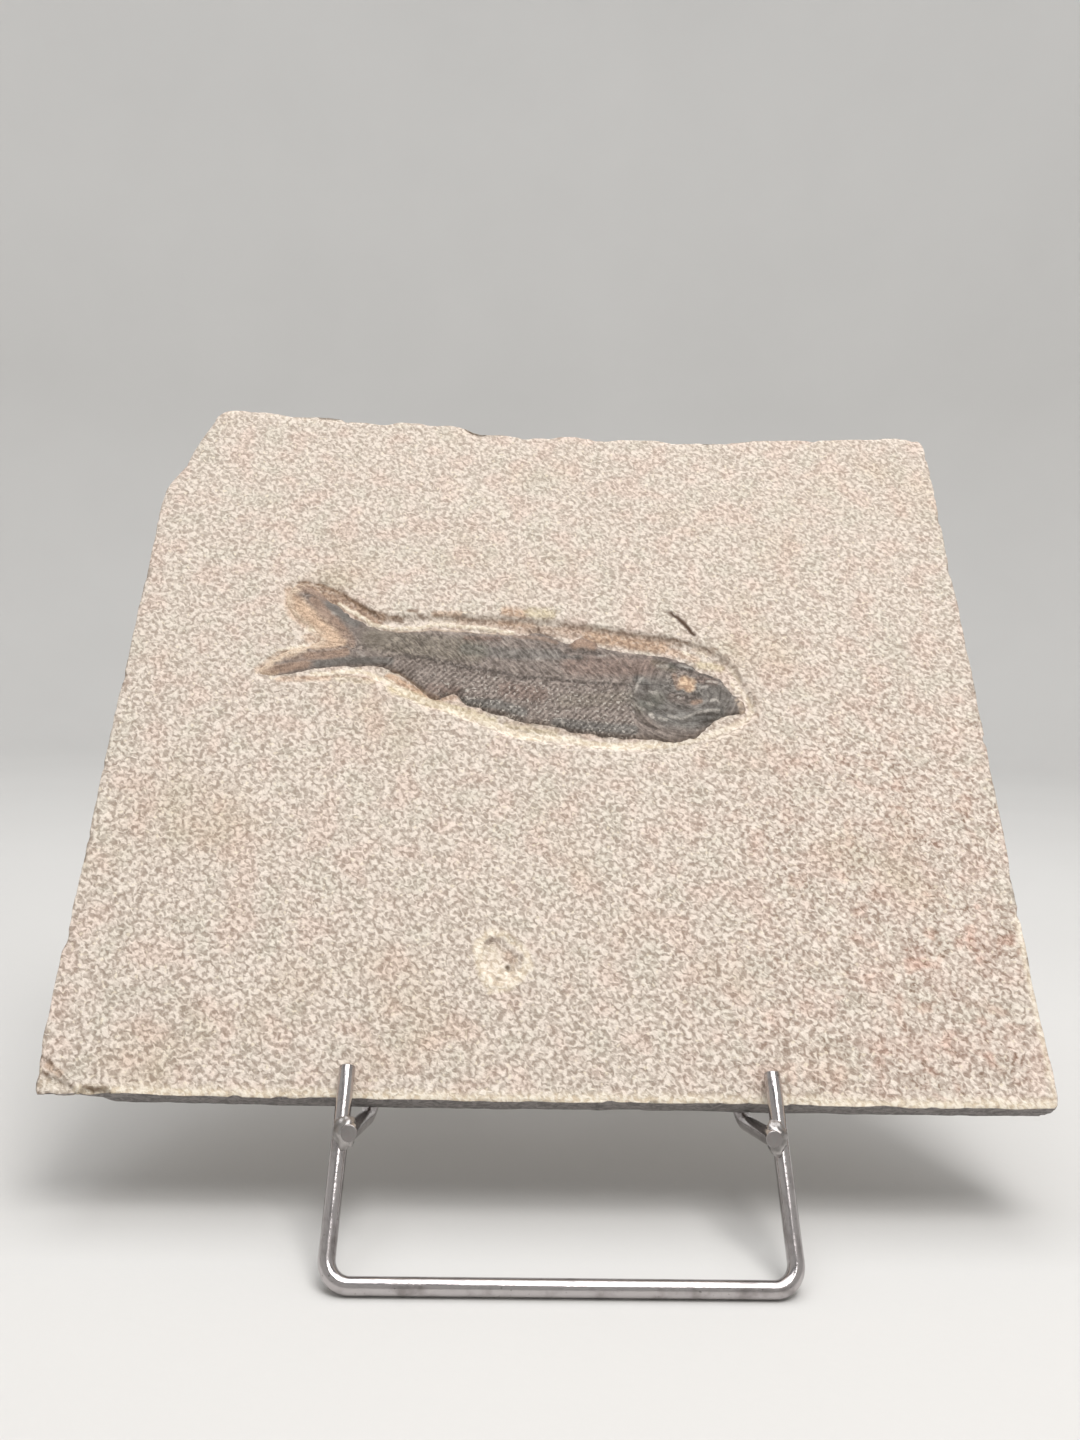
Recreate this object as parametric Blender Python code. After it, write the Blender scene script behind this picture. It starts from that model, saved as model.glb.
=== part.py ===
"""Fossil fish slab on a bent-wire easel.

A thin rectangular slab of fine limestone carries one small herring-like fish in a shallow prepared
trench. The slab leans back on a display stand of three welded round wires: a front wire that is foot
and lip, a back wire that is ledge and backrest, and a rear leg wire that props it up.

Run with: blender --background --python part.py

World frame: metres, +Z up, the floor at Z = 0, the fish facing -Y. The object's bounding box is
centred on X = 0 and Y = 0.
"""

import math

import bpy
from mathutils import Matrix, Vector

MM = 0.001

# Slab
SLAB_THICKNESS = 0.0100
SLAB_EDGE_ROUNDING = 0.0007
SLAB_LEAN = math.radians(30.0)
SLAB_EDGE_HEIGHT = 0.0256  # the front bottom edge above the floor
SLAB_EDGE_DEPTH = -0.0361  # the front bottom edge in world Y

# Fish and the trench it was prepared in
TRENCH_DEPTH = 0.0013  # its wall slopes at 45 degrees, so its mouth is this much wider all round
FISH_THICKNESS = 0.0010
FISH_ROUNDING = 0.0004
EYE_RADIUS = 0.0017
EYE_DEPTH = 0.0004
GILL_GROOVE_RADIUS = 0.0003

# Small natural pit low on the face
PIT_CENTRE = (-0.0112, 0.0280)
PIT_RADIUS = 0.0030
PIT_DEPTH = 0.0009

# Stand
WIRE_RADIUS = 0.0016
WIRE_SIDES = 12
WIRE_FLAT = WIRE_RADIUS * math.cos(math.pi / WIRE_SIDES)  # from the wire's axis to its sides' flats
BEND_RADIUS = 0.0045
BEND_STEPS = 6
GAP = 0.0003  # clearance kept wherever two pieces touch
STAND_CENTRE = 0.0010  # the stand stands a little right of the slab's middle
FRONT_HALF_WIDTH = 0.0424
FRONT_FOOT_FORWARD = 0.0234  # the front foot ahead of the slab's bottom edge
LIP_HEIGHT = 0.0061  # how far the front wire's tips reach up the slab's face
LEDGE_START = (0.0390, -0.0071, 0.0076)
LEDGE_BEND = (0.0386, -0.0011, -0.0133)
BACKREST_TOP_HALF_WIDTH = 0.0220
BACKREST_TOP_HEIGHT = 0.0970
REAR_LEG_TOP = (0.0287, 0.0780, -0.0126)
REAR_FOOT_HALF_WIDTH = 0.0340
REAR_FOOT_BEHIND = 0.0800  # the rear foot behind the slab's bottom edge

# Outlines on the slab's face, in millimetres: X from its middle, then height above its bottom edge.
SLAB_OUTLINE = [
    (-101.2, 0.0), (-84.0, 0.3), (-60.0, 0.0), (-20.0, -0.1), (20.0, 0.1), (62.0, -0.1),
    (101.0, 0.0), (102.2, 1.4), (102.5, 4.0), (102.2, 9.0), (101.7, 18.0), (101.6, 34.0),
    (101.5, 46.0), (101.8, 56.0), (101.9, 84.0), (102.0, 102.0), (101.9, 140.0), (101.6, 162.0),
    (101.4, 172.0), (100.6, 175.4), (97.0, 176.1), (91.0, 176.0), (82.0, 175.3), (74.0, 174.6),
    (64.0, 174.1), (55.0, 173.7), (49.0, 172.9), (45.0, 172.1), (31.0, 171.6), (25.0, 172.4),
    (16.0, 172.0), (10.0, 171.8), (4.0, 172.8), (1.0, 172.5), (-3.0, 172.0), (-8.0, 171.8),
    (-14.0, 172.5), (-20.0, 172.5), (-23.0, 173.5), (-26.0, 174.6), (-29.0, 175.1), (-41.0, 175.5),
    (-44.0, 175.1), (-47.0, 174.5), (-53.0, 175.1), (-59.0, 175.9), (-64.0, 176.3), (-71.0, 176.3),
    (-74.0, 176.6), (-77.0, 177.3), (-87.0, 177.5), (-90.0, 176.9), (-91.8, 174.8), (-93.8, 170.0),
    (-95.9, 164.0), (-97.3, 158.2), (-98.9, 155.2), (-100.9, 152.2), (-101.6, 148.6),
    (-101.8, 128.0), (-102.0, 104.0), (-102.1, 92.0), (-102.4, 80.0), (-102.3, 58.0),
    (-102.3, 36.0), (-102.5, 20.0), (-102.5, 12.0), (-102.3, 5.0), (-102.0, 2.0),
]
TRENCH_OUTLINE = [
    (-69.6, 94.8), (-60.0, 94.6), (-47.6, 97.0), (-42.5, 95.2), (-37.2, 92.4), (-31.0, 89.0),
    (-25.0, 87.6), (-17.0, 84.2), (-6.5, 81.0), (4.0, 79.6), (15.0, 79.0), (28.0, 78.4),
    (34.0, 80.2), (40.0, 83.4), (45.6, 87.2), (47.2, 90.2), (46.0, 94.6), (43.6, 99.6),
    (40.8, 103.6), (36.5, 106.6), (30.0, 108.4), (22.0, 109.8), (9.0, 111.6), (-4.0, 113.0),
    (-18.0, 113.4), (-31.0, 113.3), (-40.0, 112.6), (-45.2, 113.8), (-50.4, 117.4),
    (-57.0, 121.6), (-63.5, 122.8), (-66.4, 120.6), (-67.4, 115.0), (-62.0, 109.0),
    (-66.0, 102.6), (-70.4, 97.4),
]
FISH_OUTLINE = [
    (-68.8, 95.7), (-60.0, 96.4), (-46.9, 98.8), (-40.9, 98.1), (-36.9, 96.3), (-32.0, 92.9),
    (-28.0, 90.5), (-23.0, 90.6), (-17.5, 87.3), (-10.0, 84.6), (0.0, 83.0), (11.0, 81.6),
    (20.0, 81.2), (28.4, 80.9), (33.8, 83.0), (37.8, 86.2), (43.2, 88.3), (45.4, 90.2),
    (44.9, 92.2), (42.1, 95.2), (39.1, 98.0), (33.4, 100.6), (28.2, 103.0), (22.0, 104.2),
    (13.3, 105.3), (2.5, 106.9), (-6.8, 108.1), (-18.2, 109.3), (-27.8, 109.6), (-35.6, 109.0),
    (-41.6, 108.8), (-46.0, 110.4), (-51.0, 114.0), (-56.5, 119.0), (-63.2, 121.8),
    (-65.2, 119.6), (-62.0, 113.4), (-57.2, 108.8), (-52.4, 106.0), (-56.5, 103.0),
    (-63.5, 99.6), (-69.2, 97.2),
]
EYE_CENTRE = (31.6, 96.0)
GILL_LINE = [(21.6, 99.6), (19.3, 97.0), (18.4, 93.6), (18.8, 89.6), (20.6, 86.0), (23.4, 83.6)]


def remove_all_objects():
    for item in list(bpy.data.objects):
        bpy.data.objects.remove(item, do_unlink=True)


def new_collection(name):
    group = bpy.data.collections.new(name)
    bpy.context.scene.collection.children.link(group)
    return group


def new_material(name, colour, roughness, metallic):
    material = bpy.data.materials.new(name)
    material.use_nodes = True
    shader = material.node_tree.nodes["Principled BSDF"]
    shader.inputs["Base Color"].default_value = (*colour, 1.0)
    shader.inputs["Roughness"].default_value = roughness
    shader.inputs["Metallic"].default_value = metallic
    return material


def new_empty(name, group):
    empty = bpy.data.objects.new(name, None)
    group.objects.link(empty)
    return empty


def slab_point(x, up, out):
    """World place of a point given along the slab: across, up its face, and out of its face."""
    y = SLAB_EDGE_DEPTH + up * math.sin(SLAB_LEAN) - out * math.cos(SLAB_LEAN)
    z = SLAB_EDGE_HEIGHT + up * math.cos(SLAB_LEAN) + out * math.sin(SLAB_LEAN)
    return Vector((x, y, z))


def mesh_from_curve(name, curve, group):
    """The curve's solid as a mesh object of its own, with the seams of its caps merged."""
    source = bpy.data.objects.new(name + "_curve", curve)
    group.objects.link(source)
    depsgraph = bpy.context.evaluated_depsgraph_get()
    mesh = bpy.data.meshes.new_from_object(source.evaluated_get(depsgraph))
    bpy.data.objects.remove(source, do_unlink=True)
    mesh.name = name
    solid = bpy.data.objects.new(name, mesh)
    group.objects.link(solid)
    bpy.context.view_layer.objects.active = solid
    solid.select_set(True)
    bpy.ops.object.mode_set(mode="EDIT")
    bpy.ops.mesh.select_all(action="SELECT")
    bpy.ops.mesh.remove_doubles(threshold=0.00001)
    bpy.ops.mesh.normals_make_consistent(inside=False)
    bpy.ops.object.mode_set(mode="OBJECT")
    solid.select_set(False)
    return solid


def plate(name, outline_mm, half_thickness, rounding, group):
    """A flat plate with the given outline, its rim rounded outwards by `rounding`."""
    curve = bpy.data.curves.new(name, "CURVE")
    curve.dimensions = "2D"
    curve.fill_mode = "BOTH"
    curve.extrude = half_thickness - rounding
    curve.bevel_depth = rounding
    curve.bevel_resolution = 1
    curve.offset = -rounding
    line = curve.splines.new("POLY")
    line.points.add(len(outline_mm) - 1)
    for point, (x, up) in zip(line.points, outline_mm):
        point.co = (x * MM, up * MM, 0.0, 1.0)
    line.use_cyclic_u = True
    return mesh_from_curve(name, curve, group)


def rounded_path(corners, radius):
    """The corners joined by straight runs, with each inner corner bent to `radius`."""
    path = [corners[0]]
    for before, corner, after in zip(corners, corners[1:], corners[2:]):
        arriving = (before - corner).normalized()
        leaving = (after - corner).normalized()
        half_angle = arriving.angle(leaving) / 2.0
        tangent_length = radius / math.tan(half_angle)
        middle = (arriving + leaving).normalized()
        centre = corner + middle * (radius / math.sin(half_angle))
        first = (corner + arriving * tangent_length - centre).normalized()
        last = (corner + leaving * tangent_length - centre).normalized()
        for step in range(BEND_STEPS + 1):
            path.append(centre + first.slerp(last, step / BEND_STEPS) * radius)
    path.append(corners[-1])
    return path


def wire(name, corners, group):
    """A round wire that follows the corners, with flat cut ends and one of its flats facing down."""
    curve = bpy.data.curves.new(name, "CURVE")
    curve.dimensions = "3D"
    curve.bevel_depth = WIRE_RADIUS
    curve.bevel_resolution = (WIRE_SIDES - 4) // 2
    curve.twist_mode = "Z_UP"
    curve.use_fill_caps = True
    path = rounded_path(corners, BEND_RADIUS)
    line = curve.splines.new("POLY")
    line.points.add(len(path) - 1)
    for point, place in zip(line.points, path):
        point.co = (*place, 1.0)
        point.tilt = math.pi / WIRE_SIDES
    solid = mesh_from_curve(name, curve, group)
    solid.data.shade_smooth()
    return solid


def mirrored(corners):
    """The corners followed by their mirror images about the stand's middle, as one run of wire."""
    left = [Vector((STAND_CENTRE - place.x, place.y, place.z)) for place in corners]
    right = [Vector((STAND_CENTRE + place.x, place.y, place.z)) for place in reversed(corners)]
    return left + right


def cut(solid, cutter):
    difference = solid.modifiers.new("cut_" + cutter.name, "BOOLEAN")
    difference.operation = "DIFFERENCE"
    difference.solver = "EXACT"
    difference.object = cutter


def as_cutter(solid):
    solid.hide_render = True
    solid.display_type = "WIRE"
    return solid


def dimple_cutter(name, centre, mouth_radius, depth, face, group):
    """A sphere that leaves a dish of this mouth and depth in a face at height `face`."""
    sphere_radius = (mouth_radius**2 + depth**2) / (2.0 * depth)
    bpy.ops.mesh.primitive_uv_sphere_add(
        segments=28,
        ring_count=56,
        radius=sphere_radius,
        location=(centre[0], centre[1], face - depth + sphere_radius),
    )
    sphere = bpy.context.object
    sphere.name = name
    for owner in list(sphere.users_collection):
        owner.objects.unlink(sphere)
    group.objects.link(sphere)
    sphere.select_set(False)
    return as_cutter(sphere)


def groove_cutter(name, line_mm, radius, face, group):
    """A thin tube along the line, its axis on a face at height `face`."""
    curve = bpy.data.curves.new(name, "CURVE")
    curve.dimensions = "3D"
    curve.bevel_depth = radius
    curve.bevel_resolution = 1
    curve.use_fill_caps = True
    line = curve.splines.new("POLY")
    line.points.add(len(line_mm) - 1)
    for point, (x, up) in zip(line.points, line_mm):
        point.co = (x * MM, up * MM, face, 1.0)
    return as_cutter(mesh_from_curve(name, curve, group))


def make_trench_cutter(group):
    """A plate with sloping rims: its widest section lies on the slab's face."""
    curve = bpy.data.curves.new("trench", "CURVE")
    curve.dimensions = "2D"
    curve.fill_mode = "BOTH"
    curve.extrude = 0.0
    curve.bevel_depth = TRENCH_DEPTH
    curve.bevel_resolution = 0
    line = curve.splines.new("POLY")
    line.points.add(len(TRENCH_OUTLINE) - 1)
    for point, (x, up) in zip(line.points, TRENCH_OUTLINE):
        point.co = (x * MM, up * MM, 0.0, 1.0)
    line.use_cyclic_u = True
    return as_cutter(mesh_from_curve("trench", curve, group))


def make_slab(group, cutters):
    half = SLAB_THICKNESS / 2.0
    slab = plate("limestone_slab", SLAB_OUTLINE, half, SLAB_EDGE_ROUNDING, group)
    slab.data.transform(Matrix.Translation((0.0, 0.0, -half)))
    cut(slab, make_trench_cutter(cutters))
    cut(slab, dimple_cutter("pit", PIT_CENTRE, PIT_RADIUS, PIT_DEPTH, 0.0, cutters))
    return slab


def make_fish(group, cutters):
    """The fossil: it lies in the trench with its flank about level with the slab's face."""
    half = FISH_THICKNESS / 2.0
    face = -TRENCH_DEPTH + GAP + FISH_THICKNESS
    fish = plate("fossil_fish", FISH_OUTLINE, half, FISH_ROUNDING, group)
    fish.data.transform(Matrix.Translation((0.0, 0.0, face - half)))
    eye = (EYE_CENTRE[0] * MM, EYE_CENTRE[1] * MM)
    cut(fish, dimple_cutter("eye_socket", eye, EYE_RADIUS, EYE_DEPTH, face, cutters))
    cut(fish, groove_cutter("gill_groove", GILL_LINE, GILL_GROOVE_RADIUS, face, cutters))
    return fish


def make_front_wire(group):
    """Foot and lip in one: a bar on the floor whose ends rise back to hold the slab's face."""
    foot = Vector((FRONT_HALF_WIDTH, SLAB_EDGE_DEPTH - FRONT_FOOT_FORWARD, WIRE_FLAT))
    tip = slab_point(FRONT_HALF_WIDTH, LIP_HEIGHT, WIRE_RADIUS + GAP)
    return wire("front_wire", mirrored([tip, foot]), group)


def make_back_wire(group):
    """Ledge and backrest in one: two arms under the slab that bend up and meet behind it."""
    start = slab_point(*LEDGE_START)
    bend = slab_point(*LEDGE_BEND)
    out = -SLAB_THICKNESS - GAP - WIRE_RADIUS
    top = slab_point(BACKREST_TOP_HALF_WIDTH, BACKREST_TOP_HEIGHT, out)
    return wire("back_wire", mirrored([start, bend, top]), group)


def make_rear_leg_wire(group):
    """The prop: two legs from the backrest's sides down to a bar on the floor."""
    top = slab_point(*REAR_LEG_TOP)
    foot = Vector((REAR_FOOT_HALF_WIDTH, SLAB_EDGE_DEPTH + REAR_FOOT_BEHIND, WIRE_FLAT))
    return wire("rear_leg_wire", mirrored([top, foot]), group)


def main():
    remove_all_objects()
    parts = new_collection("fossil_fish_slab")
    cutters = new_collection("cutters")
    slab_plane = new_empty("slab_plane", parts)
    slab_plane.location = slab_point(0.0, 0.0, 0.0)
    slab_plane.rotation_euler = (math.pi / 2.0 - SLAB_LEAN, 0.0, 0.0)
    stand = new_empty("stand", parts)

    slab = make_slab(parts, cutters)
    fish = make_fish(parts, cutters)
    slab.data.materials.append(new_material("limestone", (0.56, 0.48, 0.40), 0.85, 0.0))
    fish.data.materials.append(new_material("fossil_bone", (0.13, 0.11, 0.10), 0.55, 0.0))
    for piece in (slab, fish, *cutters.objects):
        piece.parent = slab_plane

    plated = new_material("plated_wire", (0.72, 0.72, 0.74), 0.18, 1.0)
    for make in (make_front_wire, make_back_wire, make_rear_leg_wire):
        run = make(parts)
        run.data.materials.append(plated)
        run.parent = stand


if __name__ == "__main__":
    main()
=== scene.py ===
"""Fossil fish slab on a plated wire easel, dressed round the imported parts.

Everything on the slab is laid out in the slab's own plane, in millimetres: X across from its middle,
`up` along the face from its bottom edge, and `out` away from the face. The wires are laid out in world
metres, from places given in that plane.
"""

import logging
import math
from dataclasses import dataclass, field
from enum import Enum
from typing import Any, Callable, Sequence

import bmesh
import bpy
import numpy as np
from mathutils import Matrix, Vector, noise


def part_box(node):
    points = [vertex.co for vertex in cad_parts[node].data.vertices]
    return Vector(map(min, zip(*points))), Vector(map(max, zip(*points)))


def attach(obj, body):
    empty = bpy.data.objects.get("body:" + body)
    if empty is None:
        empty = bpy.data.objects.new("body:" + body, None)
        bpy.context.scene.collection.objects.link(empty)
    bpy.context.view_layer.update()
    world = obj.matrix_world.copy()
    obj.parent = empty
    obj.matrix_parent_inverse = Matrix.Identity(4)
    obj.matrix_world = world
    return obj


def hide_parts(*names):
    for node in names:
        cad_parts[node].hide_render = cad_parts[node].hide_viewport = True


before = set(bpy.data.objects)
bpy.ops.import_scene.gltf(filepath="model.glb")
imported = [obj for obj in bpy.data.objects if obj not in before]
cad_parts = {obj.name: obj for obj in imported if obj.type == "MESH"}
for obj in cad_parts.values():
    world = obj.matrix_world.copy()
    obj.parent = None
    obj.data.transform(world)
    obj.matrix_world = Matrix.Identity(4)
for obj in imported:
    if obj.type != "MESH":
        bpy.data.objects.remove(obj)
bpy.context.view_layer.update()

log = logging.getLogger("fossil_fish_slab")

MM = 0.001
BODY = "root"
TOUCH = 0.01  # places this close, in millimetres, count as one
FRONT = -0.1  # in a piece modelled flat, what lies further out than this is its front

Places = np.ndarray  # one row of coordinates for each place
Values = np.ndarray  # one number for each place
Line = Sequence[tuple[float, float]]
Spot = tuple[float, float, float]
Colour = tuple[float, float, float]
Wave = tuple[float, float, float]  # a ripple's height, pitch and seed


# ---------------------------------------------------------------------------------------------
# Lines and fields in the slab's plane
# ---------------------------------------------------------------------------------------------


def smooth(share: Values) -> Values:
    """An S curve from 0 to 1 as `share` runs from 0 to 1, level beyond both ends."""
    share = np.clip(share, 0.0, 1.0)
    return share * share * (3.0 - 2.0 * share)


def ramp(values: Values, start: float, end: float) -> Values:
    """An S curve from 0 where the values are at `start` to 1 where they reach `end`."""
    return smooth((values - start) / (end - start))


def ripple(places: Places, pitch: float, seed: float) -> Values:
    """Smooth noise over the places.

    Args:
        places: Two or three coordinates for each place.
        pitch: About how far apart its humps are, in the same unit.
        seed: Picks the pattern.

    Returns:
        A value from about -1 to 1 for each place.
    """
    third = places[:, 2] if places.shape[1] > 2 else np.zeros(len(places))
    rows = np.column_stack((places[:, 0], places[:, 1], third)) / pitch + seed
    return np.array([noise.noise(row) for row in rows.tolist()])


def waves(places: Places, parts: Sequence[Wave]) -> Values:
    """The sum of several ripples at each place."""
    return np.sum([height * ripple(places, pitch, seed) for height, pitch, seed in parts], axis=0)


def strayed(places: Places, reach: float, pitch: float, seeds: tuple[float, float]) -> Places:
    """How far each place strays across and up, by about a reach at most."""
    return reach * np.column_stack([ripple(places, pitch, seed) for seed in seeds])


def traced(*numbers: float) -> Line:
    """A line's points, from X and up of each in turn."""
    return tuple(zip(numbers[::2], numbers[1::2]))


def along_line(places: Places, line: Line, closed: bool = False) -> tuple[Values, Values]:
    """How far each place is from a line, and where along it the nearest point lies.

    Args:
        places: X and up for each place.
        line: The line's corners.
        closed: Whether it runs back to its start.

    Returns:
        The distances, and the shares of the line's length, from 0 to 1.
    """
    corners = np.array(line, dtype=float)
    starts, ends = (corners, np.roll(corners, -1, axis=0)) if closed else (corners[:-1], corners[1:])
    lengths = np.linalg.norm(ends - starts, axis=1)
    before = np.concatenate(([0.0], np.cumsum(lengths)))
    nearest = np.full(len(places), np.inf)
    share = np.zeros(len(places))
    for start, end, length, run in zip(starts, ends, lengths, before):
        step = (end - start) / max(length, 1e-9)
        reach = np.clip((places[:, :2] - start) @ step, 0.0, length)
        distance = np.linalg.norm(places[:, :2] - start - reach[:, None] * step, axis=1)
        closer = distance < nearest
        nearest[closer] = distance[closer]
        share[closer] = (run + reach[closer]) / before[-1]
    return nearest, share


def within(places: Places, outline: Line) -> Values:
    """Whether each place lies inside a closed outline."""
    corners = np.array(outline, dtype=float)
    inside = np.zeros(len(places), dtype=bool)
    x, up = places[:, 0], places[:, 1]
    for (x0, up0), (x1, up1) in zip(corners, np.roll(corners, -1, axis=0)):
        crosses = (up0 > up) != (up1 > up)
        at = x0 + (up - up0) * (x1 - x0) / (up1 - up0 if up1 != up0 else 1e-9)
        inside ^= crosses & (x < at)
    return inside


def outline_depth(places: Places, outline: Line) -> Values:
    """How far inside a closed outline each place lies, negative outside it."""
    distance, _ = along_line(places, outline, closed=True)
    return np.where(within(places, outline), distance, -distance)


def rounded(corners: Line, steps: int) -> Line:
    """A smooth closed line through the corners of a coarse one.

    Args:
        corners: The corners it passes through.
        steps: Points for each stretch between two corners.

    Returns:
        The smooth line's points.
    """
    ends = [np.array(corner) for corner in corners]
    padded = [ends[-1], *ends, ends[0], ends[1]]
    points = []
    for a, b, c, d in zip(padded, padded[1:], padded[2:], padded[3:]):
        square, cube = 2.0 * a - 5.0 * b + 4.0 * c - d, 3.0 * b - a - 3.0 * c + d
        for t in (step / steps for step in range(steps)):
            point = 0.5 * (2.0 * b + (c - a) * t + square * t**2 + cube * t**3)
            points.append((float(point[0]), float(point[1])))
    return points


MARKED_FROM = np.array([-12.3, -31.1, 225.1])  # X, up and out of the point that all marks are laid out from


def on_face(places: Places) -> Places:
    """X and up on the flat face where each place shows, seen from the point that marks are laid out from."""
    share = MARKED_FROM[2] / (MARKED_FROM[2] - places[:, 2])
    return MARKED_FROM[:2] + (places[:, :2] - MARKED_FROM[:2]) * share[:, None]


def under_face(line: Line, out: Values) -> Places:
    """The places at the given heights that show on the line's points; undoes `on_face`."""
    share = MARKED_FROM[2] / (MARKED_FROM[2] - out)
    return MARKED_FROM[:2] + (np.array(line) - MARKED_FROM[:2]) / share[:, None]


@dataclass(frozen=True)
class Stroke:
    """A soft line in the slab's plane: a stain, painted highlight, painted shade, a ridge or a groove."""

    line: Line
    width: float  # from its middle to where it has faded out
    strength: float
    taper: float = 1.0  # its width at the end, as a share of the width at the start

    def over(self, places: Places) -> Values:
        """Its strength at each place."""
        distance, share = along_line(places, self.line)
        width = self.width * (1.0 + (self.taper - 1.0) * share)
        return self.strength * smooth((1.0 - distance / width) * 1.5)


def mark(width: float, strength: float, *numbers: float, taper: float = 1.0) -> Stroke:
    """A stroke from its width, its strength, and X and up of its points in turn."""
    return Stroke(traced(*numbers), width, strength, taper)


def stroked(places: Places, strokes: Sequence[Stroke]) -> Values:
    """The strongest of the strokes at each place."""
    return np.maximum.reduce([stroke.over(places) for stroke in strokes])


# ---------------------------------------------------------------------------------------------
# Modelling helpers
# ---------------------------------------------------------------------------------------------


class Pick(Enum):
    """What a selection in edit mode is made of."""

    VERTICES = "VERT"
    EDGES = "EDGE"
    FACES = "FACE"


class Slot(Enum):
    """The record's material slots."""

    STONE = "limestone"
    BONE = "fossil_bone"
    PLATED = "plated_wire"


def select(*pieces: bpy.types.Object) -> None:
    """Selects these pieces alone, the last of them active; with none given, nothing stays selected."""
    bpy.ops.object.select_all(action="DESELECT")
    for piece in pieces:
        piece.select_set(True)
        bpy.context.view_layer.objects.active = piece


def edit(piece: bpy.types.Object, whole: bool = False) -> None:
    """Enters edit mode on the piece alone, with the whole of its mesh selected if asked."""
    select(piece)
    bpy.ops.object.mode_set(mode="EDIT")
    if whole:
        bpy.ops.mesh.select_all(action="SELECT")


def leave_edit() -> None:
    """Goes back to object mode."""
    bpy.ops.object.mode_set(mode="OBJECT")


def pick(kind: Pick, test: Callable[[Any], bool]) -> int:
    """Selects, in edit mode, only the elements that pass a test.

    Args:
        kind: Vertices, edges or faces.
        test: Says whether an element is wanted.

    Returns:
        How many were selected.
    """
    bpy.ops.mesh.select_mode(type=kind.value)
    bpy.ops.mesh.select_all(action="DESELECT")
    mesh = bpy.context.object.data
    shape = bmesh.from_edit_mesh(mesh)
    elements = {Pick.VERTICES: shape.verts, Pick.EDGES: shape.edges, Pick.FACES: shape.faces}[kind]
    chosen = [element for element in elements if test(element)]
    for element in chosen:
        element.select_set(True)
    shape.select_flush_mode()
    bmesh.update_edit_mesh(mesh)
    return len(chosen)


def draw_out(move: Sequence[float], rim: bool = True) -> None:
    """Extrudes, in edit mode, the mesh's open rim, or else the selected edges, by a move."""
    if rim:
        pick(Pick.EDGES, lambda edge: edge.is_boundary)
    bpy.ops.mesh.extrude_edges_move(TRANSFORM_OT_translate={"value": tuple(move)})


def add_sheet(
    name: str, cells: Sequence[int], low: Sequence[float], high: Sequence[float], out: float = 0.0
) -> bpy.types.Object:
    """Adds a flat grid, for a piece that is modelled flat.

    Args:
        name: Its name.
        cells: How many cells it has across and up.
        low: X and up of its lowest corner.
        high: X and up of the corner across from it.
        out: Its height.

    Returns:
        The grid.
    """
    select()
    bpy.ops.mesh.primitive_grid_add(x_subdivisions=cells[0], y_subdivisions=cells[1], size=1.0)
    piece = bpy.context.object
    piece.name = name
    edit(piece, whole=True)
    bpy.ops.transform.resize(value=(high[0] - low[0], high[1] - low[1], 1.0))
    bpy.ops.transform.translate(value=((low[0] + high[0]) / 2.0, (low[1] + high[1]) / 2.0, out))
    leave_edit()
    return piece


def rows_of(items: Any, name: str) -> Places:
    """The three numbers that each item of a mesh holds under a name, one row each."""
    flat = np.empty(len(items) * 3)
    items.foreach_get(name, flat)
    return flat.reshape(-1, 3)


def places_of(piece: bpy.types.Object) -> Places:
    """The piece's vertices, one row each."""
    return rows_of(piece.data.vertices, "co")


def move_to(piece: bpy.types.Object, places: Places) -> None:
    """Moves the piece's vertices to new places."""
    piece.data.vertices.foreach_set("co", places.reshape(-1).astype(np.float32))
    piece.data.update()


def add_mask(piece: bpy.types.Object, name: str, values: Values) -> None:
    """Stores a number for each vertex, for the piece's material to read."""
    layer = piece.data.attributes.new(name, "FLOAT", "POINT")
    layer.data.foreach_set("value", np.clip(values, 0.0, 1.0).astype(np.float32))


def set_down(piece: bpy.types.Object, place: Matrix | None = None) -> None:
    """Brings a piece to its place, if one is given, and applies its transform to its mesh."""
    select(piece)
    if place is not None:
        piece.matrix_world = place
    bpy.ops.object.transform_apply(location=True, rotation=True, scale=True)


def finish_piece(piece: bpy.types.Object, finish: "Finish", slot: Slot, *nodes: str) -> None:
    """Dresses a finished piece, and ties it to its body and the parts that it stands for.

    Args:
        piece: The piece, with its place in its mesh.
        finish: What its surface is.
        slot: The record's slot of that finish; not used.
        nodes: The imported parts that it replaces.
    """
    piece.data.materials.clear()
    piece.data.materials.append(finish.material())
    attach(piece, BODY)
    if nodes:
        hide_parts(*nodes)
    select()
    log.info("%s: %d faces", piece.name, len(piece.data.polygons))


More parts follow.
